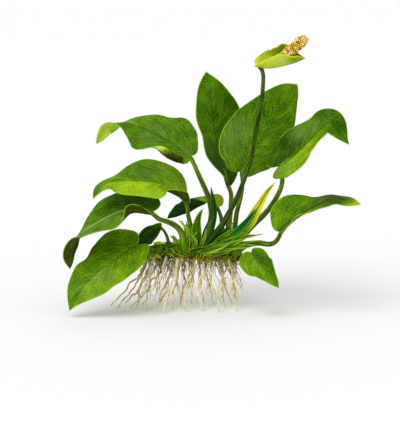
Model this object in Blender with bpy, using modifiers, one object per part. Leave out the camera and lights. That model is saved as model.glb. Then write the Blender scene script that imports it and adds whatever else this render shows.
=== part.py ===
# Bare-rooted Anubias nana in flower, standing on its root mass.
# A level creeping rhizome carries eleven stalked leaves, young leaves and sheaths at its crown,
# one flower on a tall stalk, and a fringe of roots that reaches the ground.
# X runs along the rhizome to its growing end, Y runs to the back, Z is up, ground is Z = 0.
# Every size below is in millimetres and every angle in degrees.
import math
import random

import bmesh
import bpy
from mathutils import Vector

MM = 0.001
# Puts the middle of the plant's box over the origin
SHIFT = Vector((0.2, -2.8, 0))
TOUCH_GAP = 0.3
TUBE_SIDES = 2

BLADE_THICKNESS = 0.8
BLADE_ROWS = 12
BLADE_COLUMNS = 3
STALK_FOOT_RADIUS = 1.5
STALK_TOP_RADIUS = 0.9
STALK_STEPS = 8

RHIZOME_RADIUS = 4.5
RHIZOME_RING = 0.35
RHIZOME_RING_LENGTH = 5.5
RHIZOME_STEPS = 26
RHIZOME_ROUTE = [(-38, 0, 31), (-27, 1, 33), (-15, -1, 34), (-4, 0, 33), (8, 1, 32), (17, -1, 30)]

# A blade is laid out along its midrib, from the stalk to the tip.
# facing turns the upper side, as azimuth from the front and elevation, at four even stations.
# rise bends the left and right halves up (or down) from the midrib, at five even stations.
# heart is the width at the stalk, belly the place of the greatest width, taper how full the tip is,
# lobe how far the base reaches back past the stalk, and skew how much wider the left half is.
LEAVES = {
    1: dict(midrib=[(-12, 6, 87), (-27, 14, 96), (-43, 19, 103), (-58, 18, 104), (-67, 20, 93)],
            facing=[(-10, 25), (5, 45), (-55, 35), (-55, 5)], width=35,
            heart=0.5, belly=0.3, taper=1.8, lobe=2, skew=0,
            rise_left=[40, 20, 0, -10, 5], rise_right=[5, 10, -20, -30, 10]),
    2: dict(midrib=[(-14, -7, 63), (-26, -5, 72), (-40, -11, 75), (-58, -14, 74), (-66, -19, 66)],
            facing=[(5, 65), (-5, 30), (-45, 45), (-55, 25)], width=29,
            heart=0.6, belly=0.35, taper=1.8, lobe=2, skew=0.1,
            rise_left=[55, 50, 15, -10, 20], rise_right=[-45, -5, 15, -15, 15]),
    3: dict(midrib=[(-33, -16, 58), (-46, -14, 59), (-60, -15, 54), (-77, -18, 42), (-79, -24, 27)],
            facing=[(-10, 45), (-5, 50), (-50, 35), (-105, 5)], width=34,
            heart=0.65, belly=0.3, taper=2.3, lobe=3, skew=0.15,
            rise_left=[75, 25, 30, 25, 65], rise_right=[-5, 0, -10, -45, -5]),
    4: dict(midrib=[(-42, -14, 39), (-52, -21, 33), (-62, -25, 25), (-71, -27, 16), (-79, -27, 4)],
            facing=[(0, 45), (-25, 40), (-15, 25), (-30, 25)], width=31,
            heart=0.7, belly=0.35, taper=1.9, lobe=5, skew=-0.05,
            rise_left=[5, -5, 5, 0, 5], rise_right=[30, 10, -5, 20, 5]),
    5: dict(midrib=[(-29, 5, 47), (-35, 7, 43), (-41, 12, 38), (-45, 15, 35)],
            facing=[(-10, 45), (-15, 40), (-5, 20), (-5, 25)], width=12,
            heart=0.55, belly=0.35, taper=1.8, lobe=1, skew=0.1,
            rise_left=[20, 0, -15, -5, 15], rise_right=[-15, -15, 0, 0, -5]),
    6: dict(midrib=[(4, 15, 57), (-4, 20, 62), (-12, 27, 58), (-26, 35, 47)],
            facing=[(5, 75), (15, 90), (0, 105), (5, 115)], width=20,
            heart=0.55, belly=0.35, taper=2.0, lobe=1, skew=0,
            rise_left=[30, 0, 0, 5, 5], rise_right=[25, 0, -15, -20, -15]),
    7: dict(midrib=[(10, 21, 68), (5, 27, 85), (2, 33, 99), (0, 33, 116), (-3, 28, 134)],
            facing=[(50, 10), (40, -5), (10, 5), (-15, 20)], width=29,
            heart=0.15, belly=0.6, taper=2.1, lobe=0, skew=-0.15,
            rise_left=[40, 10, 20, 20, -10], rise_right=[5, 10, 5, 10, 5]),
    8: dict(midrib=[(17, 9, 78), (23, 8, 89), (32, 11, 101), (40, 10, 115), (49, 15, 126)],
            facing=[(30, 5), (-5, 15), (0, 20), (20, 20)], width=38,
            heart=0.6, belly=0.35, taper=2.0, lobe=2, skew=0.15,
            rise_left=[5, 0, 0, -5, 15], rise_right=[-5, -10, -5, -15, -10]),
    9: dict(midrib=[(38, 0, 82), (46, -2, 88), (55, -4, 97), (66, -10, 107), (77, -9, 95)],
            facing=[(5, 40), (-5, 40), (-15, 35), (20, 45)], width=26,
            heart=0.7, belly=0.4, taper=1.9, lobe=6, skew=0.05,
            rise_left=[0, 15, -15, 15, -10], rise_right=[10, 25, 35, 15, 0]),
    10: dict(midrib=[(38, -17, 47), (44, -19, 53), (54, -22, 60), (67, -24, 66), (82, -28, 64)],
             facing=[(0, 50), (5, 70), (-5, 60), (-5, 70)], width=28,
             heart=0.6, belly=0.3, taper=1.8, lobe=2, skew=0.1,
             rise_left=[25, 35, -10, -20, 15], rise_right=[35, 30, 25, 20, -15]),
    11: dict(midrib=[(22, -21, 36), (26, -27, 31), (30, -31, 27), (37, -32, 18)],
             facing=[(10, 50), (10, 30), (10, 40), (10, 15)], width=17,
             heart=0.65, belly=0.3, taper=1.5, lobe=2, skew=-0.05,
             rise_left=[25, -10, 10, 5, 5], rise_right=[-10, -15, -20, -5, 30]),
}

# Where each leaf stalk runs, from inside the rhizome to just short of its blade
STALK_ROUTES = {
    1: [(-3, 3, 34), (-2, 3, 43), (0, 2, 52), (-1, 3, 62), (-7, 3, 76)],
    2: [(-9, -2, 34), (-11, -5, 45), (-13, -7, 54)],
    3: [(-15, -3, 34), (-17, -8, 45), (-22, -12, 51), (-30, -15, 54)],
    4: [(-33, -2, 32), (-36, -7, 33), (-40, -10, 35)],
    5: [(-24, 2, 33), (-25, 4, 40), (-27, 5, 44)],
    6: [(4, 4, 32), (6, 9, 43), (6, 13, 50)],
    7: [(9, 4, 32), (10, 10, 47), (11, 15, 57), (11, 19, 64)],
    8: [(12, 1, 32), (14, 4, 52), (17, 9, 64), (18, 12, 71)],
    9: [(16, 1, 31), (24, 1, 47), (31, 1, 56), (37, 1, 66), (39, 2, 74)],
    10: [(13, -3, 32), (19, -8, 38), (27, -12, 40), (33, -14, 39), (37, -15, 42)],
    11: [(15, -1, 29), (21, -8, 31), (22, -16, 33)],
}

# Narrow leaves still rolled along their midrib, at the crown
YOUNG_LEAVES = {
    1: dict(midrib=[(12.5, -1.8, 36), (17, -5, 49), (23, -7, 60), (29, -8, 68), (36, -8, 74)], width=7),
    2: dict(midrib=[(8, -2.1, 36.3), (12, -8, 46), (18, -11, 55), (25, -12, 60)], width=7),
    3: dict(midrib=[(-5, -2.9, 36.9), (-7, -6, 45), (-7, -8, 53), (-5, -8, 59)], width=5),
}
YOUNG_SHAPE = dict(facing=[(0, 20), (0, 20), (0, 20), (0, 20)], heart=0.3, belly=0.45, taper=1.6,
                   lobe=0, skew=0, rise_left=[30, 40, 40, 40, 30], rise_right=[30, 40, 40, 40, 30])
YOUNG_ROWS = 8
YOUNG_COLUMNS = 1

# Pointed scale leaves and rolled shoots, from the rhizome to their tips
SHEATHS = {
    1: [(3, -2, 34), (3, -4, 49), (1, -3, 60), (-1, -2, 71)],
    2: [(6, -3, 32), (16, -11, 42), (28, -14, 45)],
    3: [(-13, -2, 34), (-13, -7, 45), (-16, -9, 50), (-19, -9, 53)],
    4: [(-20, 0, 34), (-21, 1, 40), (-24, 1, 42)],
}
SHEATH_FOOT_RADIUS = 1.2
SHEATH_TIP_RADIUS = 0.35
SHEATH_STEPS = 5

FLOWER_STALK_ROUTE = [(7, 0, 32), (10, -1, 56), (16, -1, 68), (22, -1, 85), (25, -1, 102), (28, -1, 119),
                      (29, 0, 131), (28.5, 1, 136.2)]
FLOWER_STALK_STEPS = 14
FLOWER_STALK_RADIUS = 1.3
SPATHE = dict(midrib=[(28, 1, 137.5), (34, 1, 137.5), (41, 1, 139), (47, 0, 141), (53, -1, 144)],
              facing=[(0, 75), (0, 75), (0, 75), (0, 75)], width=19,
              heart=0.75, belly=0.45, taper=2.2, lobe=4, skew=0.15,
              rise_left=[50, 55, 55, 45, 40], rise_right=[45, 50, 50, 45, 40])
SPATHE_ROWS = 10
SPATHE_THICKNESS = 0.7
SPADIX_ROUTE = [(31, 0.5, 138.9), (36, 0, 141.3), (42, -1, 145.5), (47.5, -1, 151), (52, -1, 155.5)]
SPADIX_RADII = [0.7, 1.2, 2.2, 2.5, 2.5, 2.2, 1.2]

# Main roots: where each leaves the underside of the rhizome and where its tip lies
ROOTS = [
    ((-36, 1), (-58, 6, 0)), ((-35, -1), (-54, -6, 0)), ((-33, 2), (-50, 12, 0)), ((-32, -2), (-47, -12, 0)),
    ((-30, 0), (-43, 2, 0)), ((-27, 2), (-40, 9, 0)), ((-26, -2), (-37, -8, 0)), ((-23, 0), (-31, 3, 0)),
    ((-21, 2), (-30, 14, 0)), ((-20, -2), (-27, -14, 0)), ((-17, 0), (-23, -4, 0)), ((-14, 2), (-18, 8, 0)),
    ((-13, -2), (-15, -11, 0)), ((-10, 0), (-12, 1, 0)), ((-7, 2), (-8, 13, 0)), ((-6, -2), (-5, -8, 0)),
    ((-3, 0), (-1, 4, 0)), ((0, 2), (2, 11, 0)), ((1, -2), (4, -13, 0)), ((5, 0), (8, -2, 0)),
    ((8, 2), (12, 8, 0)), ((10, -2), (14, -10, 0)), ((13, 0), (18, 1, 10)),
]
ROOT_FOOT_RADIUS = 0.75
ROOT_TIP_RADIUS = 0.4
ROOT_STEPS = 5
ROOT_KINK = 1.6
ROOT_START_HEIGHT = 31.5
ROOT_SEED = 7

COLOURS = {
    "leaf": (0.10, 0.24, 0.02), "leaf_dark": (0.03, 0.10, 0.01), "leaf_young": (0.30, 0.42, 0.03),
    "stalk": (0.07, 0.15, 0.02), "sheath": (0.30, 0.40, 0.10), "rhizome": (0.12, 0.13, 0.03),
    "root": (0.66, 0.54, 0.30), "spathe": (0.50, 0.60, 0.13), "spadix": (0.80, 0.60, 0.12),
}
ROUGHNESS = {"leaf": 0.4, "leaf_dark": 0.4, "leaf_young": 0.4, "stalk": 0.5, "sheath": 0.5,
             "rhizome": 0.8, "root": 0.8, "spathe": 0.5, "spadix": 0.7}


def clear_scene():
    for thing in list(bpy.data.objects):
        bpy.data.objects.remove(thing, do_unlink=True)


def make_collection(name):
    group = bpy.data.collections.new(name)
    bpy.context.scene.collection.children.link(group)
    return group


def make_material(name):
    material = bpy.data.materials.new(name)
    material.use_nodes = True
    shader = material.node_tree.nodes["Principled BSDF"]
    shader.inputs["Base Color"].default_value = (*COLOURS[name], 1.0)
    shader.inputs["Roughness"].default_value = ROUGHNESS[name]
    shader.inputs["Metallic"].default_value = 0.0
    return material


def between(values, place):
    # Smooth curve through evenly spaced values, read at a place from 0 to 1
    values = [Vector(v) if isinstance(v, tuple) else Vector((v,) * 2) for v in values]
    spread = min(max(place, 0.0), 0.999999) * (len(values) - 1)
    at = int(spread)
    t = spread - at
    before = values[at - 1] if at > 0 else 2 * values[0] - values[1]
    after = values[at + 2] if at + 2 < len(values) else 2 * values[-1] - values[-2]
    a, b = values[at], values[at + 1]
    return 0.5 * (2 * a + (b - before) * t + (2 * before - 5 * a + 4 * b - after) * t ** 2
                  + (3 * a - before - 3 * b + after) * t ** 3)


def smooth_route(points, steps):
    # Even steps along a smooth curve through the points
    points = [Vector(p) for p in points]
    fine = [between([tuple(p) for p in points], i / 200) for i in range(201)]
    along = [0.0]
    for one, two in zip(fine, fine[1:]):
        along.append(along[-1] + (two - one).length)
    route = []
    at = 0
    for i in range(steps + 1):
        goal = along[-1] * i / steps
        while at < 199 and along[at + 1] < goal:
            at += 1
        share = (goal - along[at]) / max(along[at + 1] - along[at], 1e-9)
        route.append(fine[at].lerp(fine[at + 1], share))
    return route


def facing_vector(azimuth, elevation):
    azimuth, elevation = math.radians(azimuth), math.radians(elevation)
    return Vector((math.cos(elevation) * math.sin(azimuth), -math.cos(elevation) * math.cos(azimuth),
                   math.sin(elevation)))


def half_width(leaf, u):
    # Ovate outline: a quarter ellipse from the stalk to the belly, then a pointed curve to the tip
    if u < leaf["belly"]:
        t = (leaf["belly"] - u) / leaf["belly"]
        share = math.sqrt(1 - (1 - leaf["heart"] ** 2) * t ** 2)
    else:
        t = (u - leaf["belly"]) / (1 - leaf["belly"])
        share = max(1 - t ** leaf["taper"], 0.02) * (1 - 0.1 * math.sin(math.pi * t) ** 2)
    return leaf["width"] / 2 * share


def blade_frames(leaf, rows):
    # Midrib point, direction, side and upper-side vectors at each row
    centres = smooth_route(leaf["midrib"], rows)
    frames = []
    for i, centre in enumerate(centres):
        ahead = centres[min(i + 1, rows)] - centres[max(i - 1, 0)]
        ahead.normalize()
        stations = [tuple(facing_vector(*f)) for f in leaf["facing"]]
        up = between(stations, i / rows)
        up = (up - up.dot(ahead) * ahead).normalized()
        frames.append((centre, ahead, ahead.cross(up), up))
    return frames


def bent_reach(rise, share):
    # Sideways and upward reach of a half blade that bends more towards its margin
    steps = 12
    out, up = 0.0, 0.0
    for k in range(steps):
        part = min(max(share * steps - k, 0.0), 1.0) / steps
        angle = math.radians(rise) * (0.4 + 1.2 * (k + 0.5) / steps)
        out += math.cos(angle) * part
        up += math.sin(angle) * part
    return out, up


def blade_points(leaf, rows, columns):
    grid = []
    for i, (centre, ahead, side, up) in enumerate(blade_frames(leaf, rows)):
        u = i / rows
        row = []
        for j in range(-columns, columns + 1):
            right = j >= 0
            share = abs(j) / columns
            width = half_width(leaf, u) * (1 - leaf["skew"] if right else 1 + leaf["skew"])
            rise = between(leaf["rise_right" if right else "rise_left"], u)[0]
            out, lift = bent_reach(rise, share)
            back = leaf["lobe"] * math.sin(math.pi * share ** 0.8) * max(1 - u / 0.35, 0) ** 2
            sign = 1 if right else -1
            row.append(centre + side * sign * out * width + up * lift * width - ahead * back)
        grid.append(row)
    return grid


def make_blade(name, leaf, material, group, rows=BLADE_ROWS, columns=BLADE_COLUMNS,
               thickness=BLADE_THICKNESS):
    points = blade_points(leaf, rows, columns)
    mesh = bpy.data.meshes.new(name)
    form = bmesh.new()
    bmesh.ops.create_grid(form, x_segments=2 * columns, y_segments=rows, size=1)
    for vertex in form.verts:
        i = round((vertex.co.y + 1) / 2 * rows)
        j = round((vertex.co.x + 1) / 2 * 2 * columns)
        vertex.co = (points[i][j] + SHIFT) * MM
    form.to_mesh(mesh)
    form.free()
    mesh.shade_smooth()
    mesh.materials.append(material)
    blade = bpy.data.objects.new(name, mesh)
    group.objects.link(blade)
    shell = blade.modifiers.new("thickness", "SOLIDIFY")
    shell.thickness = thickness * MM
    shell.offset = 0.0
    return blade


def make_tube(name, route, radii, material, group, sides=TUBE_SIDES):
    # A round stem: one radius for each point of the route
    curve = bpy.data.curves.new(name, "CURVE")
    curve.dimensions = "3D"
    curve.bevel_depth = MM
    curve.bevel_resolution = sides
    curve.use_fill_caps = True
    line = curve.splines.new("POLY")
    line.points.add(len(route) - 1)
    for point, place, radius in zip(line.points, route, radii):
        point.co = (*((place + SHIFT) * MM), 1.0)
        point.radius = radius
    tube = bpy.data.objects.new(name + "_curve", curve)
    group.objects.link(tube)
    seen = tube.evaluated_get(bpy.context.evaluated_depsgraph_get())
    mesh = bpy.data.meshes.new_from_object(seen)
    mesh.name = name
    form = bmesh.new()
    form.from_mesh(mesh)
    bmesh.ops.remove_doubles(form, verts=form.verts, dist=0.00001)
    bmesh.ops.recalc_face_normals(form, faces=form.faces)
    form.to_mesh(mesh)
    form.free()
    mesh.shade_smooth()
    mesh.materials.clear()
    mesh.materials.append(material)
    solid = bpy.data.objects.new(name, mesh)
    solid.matrix_world = tube.matrix_world
    group.objects.link(solid)
    bpy.data.objects.remove(tube, do_unlink=True)
    return solid


def cut_away(piece, cutter):
    cut = piece.modifiers.new("clear_of_rhizome", "BOOLEAN")
    cut.operation = "DIFFERENCE"
    cut.solver = "EXACT"
    cut.object = cutter


def even_radii(first, last, count):
    return [first + (last - first) * i / (count - 1) for i in range(count)]


def rhizome_radii(extra):
    # Swollen between its leaf scars, and rounded at both ends
    radii = []
    length = RHIZOME_ROUTE[-1][0] - RHIZOME_ROUTE[0][0]
    for i in range(RHIZOME_STEPS + 1):
        place = i / RHIZOME_STEPS
        ring = RHIZOME_RING * math.sin(2 * math.pi * place * length / RHIZOME_RING_LENGTH)
        edge = min(place, 1 - place) * length / RHIZOME_RADIUS
        rounding = math.sqrt(1 - (1 - min(edge, 1)) ** 2 * 0.85)
        radii.append((RHIZOME_RADIUS + ring) * rounding + extra)
    return radii


def make_rhizome(material, group, cutters):
    route = smooth_route(RHIZOME_ROUTE, RHIZOME_STEPS)
    rhizome = make_tube("rhizome", route, rhizome_radii(0), material, group)
    ahead = (route[-1] - route[-2]).normalized() * TOUCH_GAP
    behind = (route[0] - route[1]).normalized() * TOUCH_GAP
    grown = [route[0] + behind] + route[1:-1] + [route[-1] + ahead]
    clearance = make_tube("rhizome_clearance", grown, rhizome_radii(TOUCH_GAP), material, cutters)
    clearance.hide_render = True
    clearance.display_type = "WIRE"
    return rhizome, clearance


def stalk_end(leaf, last):
    # Just under the blade where its midrib begins, a gap below the lower skin
    centre, ahead, side, up = blade_frames(leaf, BLADE_ROWS)[0]
    coming = (centre - Vector(last)).normalized()
    lean = math.sqrt(max(1 - coming.dot(up) ** 2, 0))
    return centre - up * (BLADE_THICKNESS / 2 + 1.4 * TOUCH_GAP + STALK_TOP_RADIUS * lean)


def make_leaves(materials, group, clearance):
    for number, leaf in LEAVES.items():
        finish = materials["leaf_dark"] if number in (5, 6) else materials["leaf"]
        make_blade(f"leaf_blade_{number}", leaf, finish, group)
        route = STALK_ROUTES[number]
        end = stalk_end(leaf, route[-1])
        steps = smooth_route([*route, tuple(end)], STALK_STEPS)
        radii = even_radii(STALK_FOOT_RADIUS, STALK_TOP_RADIUS, STALK_STEPS + 1)
        stalk = make_tube(f"leaf_stalk_{number}", steps, radii, materials["stalk"], group)
        cut_away(stalk, clearance)


def make_crown(materials, group, clearance):
    for number, young in YOUNG_LEAVES.items():
        make_blade(f"young_leaf_{number}", {**YOUNG_SHAPE, **young}, materials["leaf_young"], group,
                   YOUNG_ROWS, YOUNG_COLUMNS)
    for number, route in SHEATHS.items():
        steps = smooth_route(route, SHEATH_STEPS)
        radii = even_radii(SHEATH_FOOT_RADIUS, SHEATH_TIP_RADIUS, SHEATH_STEPS + 1)
        cut_away(make_tube(f"sheath_{number}", steps, radii, materials["sheath"], group), clearance)


def make_flower(materials, group, clearance):
    steps = smooth_route(FLOWER_STALK_ROUTE, FLOWER_STALK_STEPS)
    radii = [FLOWER_STALK_RADIUS] * len(steps)
    cut_away(make_tube("flower_stalk", steps, radii, materials["stalk"], group), clearance)
    make_blade("spathe", SPATHE, materials["spathe"], group, SPATHE_ROWS, BLADE_COLUMNS, SPATHE_THICKNESS)
    spike = smooth_route(SPADIX_ROUTE, len(SPADIX_RADII) - 1)
    make_tube("spadix", spike, SPADIX_RADII, materials["spadix"], group)


def root_route(start, tip, chance):
    # Hangs from the rhizome's underside and wanders down to its tip
    begin = Vector((start[0], start[1], ROOT_START_HEIGHT))
    end = Vector(tip)
    route = []
    for i in range(ROOT_STEPS + 1):
        t = i / ROOT_STEPS
        spread = t ** 1.4
        place = Vector((begin.x + (end.x - begin.x) * spread, begin.y + (end.y - begin.y) * spread,
                        begin.z + (end.z - begin.z) * t))
        if 0 < i < ROOT_STEPS:
            place.x += chance.uniform(-ROOT_KINK, ROOT_KINK) * math.sin(math.pi * t)
            place.y += chance.uniform(-ROOT_KINK, ROOT_KINK) * math.sin(math.pi * t)
        route.append(place)
    last = route[-1] - route[-2]
    route[-1].z += ROOT_TIP_RADIUS * math.hypot(last.x, last.y) / last.length
    return route


def make_roots(material, group, clearance):
    chance = random.Random(ROOT_SEED)
    radii = even_radii(ROOT_FOOT_RADIUS, ROOT_TIP_RADIUS, ROOT_STEPS + 1)
    for number, (start, tip) in enumerate(ROOTS, 1):
        route = root_route(start, tip, chance)
        cut_away(make_tube(f"root_{number:02d}", route, radii, material, group), clearance)


def main():
    clear_scene()
    plant = make_collection("anubias_nana")
    cutters = make_collection("cutters")
    materials = {name: make_material(name) for name in COLOURS}
    rhizome, clearance = make_rhizome(materials["rhizome"], plant, cutters)
    make_leaves(materials, plant, clearance)
    make_crown(materials, plant, clearance)
    make_flower(materials, plant, clearance)
    make_roots(materials["root"], plant, clearance)


main()
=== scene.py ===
# Anubias nana in flower: the finished surfaces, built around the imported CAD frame.
# Lengths in the dictionaries are millimetres and angles are degrees, as in the CAD script.
import math
import random

import bpy
import numpy as np
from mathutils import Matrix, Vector, noise


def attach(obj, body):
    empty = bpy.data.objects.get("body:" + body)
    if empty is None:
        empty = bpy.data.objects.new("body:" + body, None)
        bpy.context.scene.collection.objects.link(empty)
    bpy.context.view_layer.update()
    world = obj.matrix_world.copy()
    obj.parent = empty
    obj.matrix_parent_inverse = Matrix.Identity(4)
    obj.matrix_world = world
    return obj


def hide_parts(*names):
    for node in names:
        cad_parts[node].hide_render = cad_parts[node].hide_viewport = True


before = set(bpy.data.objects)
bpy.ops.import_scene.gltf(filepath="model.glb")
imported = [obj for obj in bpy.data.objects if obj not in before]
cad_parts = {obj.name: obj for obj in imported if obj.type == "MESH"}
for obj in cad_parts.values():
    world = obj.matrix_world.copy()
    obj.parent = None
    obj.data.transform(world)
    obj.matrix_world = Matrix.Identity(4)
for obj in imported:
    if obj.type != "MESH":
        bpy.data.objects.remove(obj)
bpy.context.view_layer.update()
bpy.context.scene.view_settings.view_transform = "Standard"  # greens as strong as in the picture

mm = 0.001
plantShift = np.array([0.2, -2.8, 0.0])  # centres the plant as the CAD solids are centred


# Helpers for nodes, colours and meshes

def paint(hexColour):
    # sRGB hex value to the linear colour that a socket takes
    parts = [int(hexColour[i:i + 2], 16) / 255 for i in (1, 3, 5)]
    return (*[c / 12.92 if c <= 0.04045 else ((c + 0.055) / 1.055) ** 2.4 for c in parts], 1.0)


def addNode(tree, kind, inputs=None, ramp=None, **settings):
    # Adds one node, with its settings, its fixed values and its links
    node = tree.nodes.new(kind)
    for key, value in settings.items():
        setattr(node, key, value)
    for key, value in (inputs or {}).items():
        if isinstance(value, bpy.types.NodeSocket):
            tree.links.new(value, node.inputs[key])
        else:
            node.inputs[key].default_value = value
    for k, (place, hexColour) in enumerate(ramp or []):
        stops = node.color_ramp.elements
        stop = stops[k] if k < 2 else stops.new(place)
        stop.position = place
        stop.color = paint(hexColour)
    return node


def startMaterial(name, roughness, specular):
    material = bpy.data.materials.new(name)
    material.use_nodes = True
    tree = material.node_tree
    shader = tree.nodes["Principled BSDF"]
    shader.inputs["Roughness"].default_value = roughness
    shader.inputs["Specular IOR Level"].default_value = specular
    return material, tree, shader


def startTree(name, sockets):
    # A Geometry Nodes tree with named inputs
    tree = bpy.data.node_groups.new(name, "GeometryNodeTree")
    tree.interface.new_socket("Geometry", in_out="INPUT", socket_type="NodeSocketGeometry")
    tree.interface.new_socket("Geometry", in_out="OUTPUT", socket_type="NodeSocketGeometry")
    for label, (kind, value) in sockets.items():
        socket = tree.interface.new_socket(label, in_out="INPUT", socket_type="NodeSocket" + kind)
        if value is not None:
            socket.default_value = value
    return tree, tree.nodes.new("NodeGroupInput").outputs


def endScatter(tree, many, label, seed, material):
    # Gives each copy its own shade, makes the copies real and sets their material
    shade = addNode(tree, "FunctionNodeRandomValue", {2: 0.0, 3: 1.0, "Seed": seed},
                    data_type="FLOAT").outputs[1]
    many = addNode(tree, "GeometryNodeStoreNamedAttribute", {
        "Geometry": many, "Name": label, "Value": shade}, data_type="FLOAT", domain="INSTANCE").outputs[0]
    many = addNode(tree, "GeometryNodeRealizeInstances", {"Geometry": many}).outputs[0]
    many = addNode(tree, "GeometryNodeSetShadeSmooth", {"Geometry": many}).outputs[0]
    many = addNode(tree, "GeometryNodeSetMaterial", {"Geometry": many, "Material": material}).outputs[0]
    addNode(tree, "NodeGroupOutput", {0: many})
    return tree


def grow(source, tree, values):
    # Runs the tree on a source mesh, and keeps the result as the object's plain mesh
    modifier = source.modifiers.new(tree.name, "NODES")
    modifier.node_group = tree
    for item in tree.interface.items_tree:
        if item.in_out == "INPUT" and item.name in values:
            modifier[item.identifier] = values[item.name]
    seen = source.evaluated_get(bpy.context.evaluated_depsgraph_get())
    mesh = bpy.data.meshes.new_from_object(seen)
    mesh.name = source.name
    source.modifiers.remove(modifier)
    source.data = mesh
    return source


def newPiece(name, mesh):
    piece = bpy.data.objects.new(name, mesh)
    bpy.context.scene.collection.objects.link(piece)
    return piece


def addNumbers(mesh, name, values):
    layer = mesh.attributes.new(name, "FLOAT", "POINT")
    layer.data.foreach_set("value", np.asarray(values, np.float32).ravel())


def hand(piece, slot, *nodes):
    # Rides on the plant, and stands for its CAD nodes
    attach(piece, "root")
    if nodes:
        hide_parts(*nodes)
    return piece


# Curves and leaf frames, worked out as the CAD script works them out

def smoothCurve(values, places):
    # Smooth curve through evenly spaced values, read at places from 0 to 1
    values = np.asarray(values, float).reshape(len(values), -1)
    ends = np.vstack([2 * values[0] - values[1], values, 2 * values[-1] - values[-2]])
    spread = np.clip(places, 0, 0.999999) * (len(values) - 1)
    at = spread.astype(int)
    t = (spread - at)[:, None]
    a, b, c, d = (ends[at + k] for k in range(4))
    return 0.5 * (2 * b + (c - a) * t + (2 * a - 5 * b + 4 * c - d) * t ** 2
                  + (3 * b - a - 3 * c + d) * t ** 3)


def spaced(points, steps):
    # Even steps along a chain of points
    lengths = np.r_[0, np.cumsum(np.linalg.norm(np.diff(points, axis=0), axis=1))]
    goals = np.linspace(0, lengths[-1], steps + 1)
    return np.stack([np.interp(goals, lengths, points[:, k]) for k in range(3)], 1)


def smoothRoute(points, steps):
    return spaced(smoothCurve(points, np.linspace(0, 1, 201)), steps)


def facingVector(azimuth, elevation):
    azimuth, elevation = math.radians(azimuth), math.radians(elevation)
    return (math.cos(elevation) * math.sin(azimuth), -math.cos(elevation) * math.cos(azimuth),
            math.sin(elevation))


def unit(vectors):
    return vectors / np.maximum(np.linalg.norm(vectors, axis=-1, keepdims=True), 1e-9)


def bladeFrames(leaf, rows):
    along = np.linspace(0, 1, rows + 1)
    centres = smoothRoute(leaf["midrib"], rows)
    ahead = unit(np.gradient(centres, axis=0))
    up = smoothCurve([facingVector(*f) for f in leaf["facing"]], along)
    up = unit(up - (up * ahead).sum(1, keepdims=True) * ahead)
    return along, centres, ahead, np.cross(ahead, up), up


def halfWidth(leaf, along):
    # Ovate outline: a quarter ellipse from the stalk to the belly, then a pointed curve to the tip
    near = np.clip((leaf["belly"] - along) / leaf["belly"], 0, 1)
    far = np.clip((along - leaf["belly"]) / (1 - leaf["belly"]), 0, 1)
    base = np.sqrt(1 - (1 - leaf["heart"] ** 2) * near ** 2)
    tip = np.maximum(1 - far ** leaf["taper"], 0.02) * (1 - 0.1 * np.sin(math.pi * far) ** 2)
    return leaf["width"] / 2 * np.where(along < leaf["belly"], base, tip)


# Leaf blades: two skins with a sunken midrib above, a keel below, and lateral veins that curve forward

bladeShape = {
    "rows": 132, "columns": 28,
    "thickness": 0.5, "edgeRound": 0.4,
    "cornerRound": 2.2, "cornerReach": 0.13,
    "grooveDepth": 0.28, "grooveWidth": 0.55,
    "keelHeight": 0.75, "keelWidth": 0.75,
    "veinsPerSide": 9, "veinDepth": 0.11, "veinWidth": 0.5,
    "veinLean": 0.28, "veinCurve": 0.18,
    "rippleHeight": 0.35, "rippleCount": 4.5,
    "ribWidth": 0.55, "ribLeast": 0.12,
}
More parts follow.
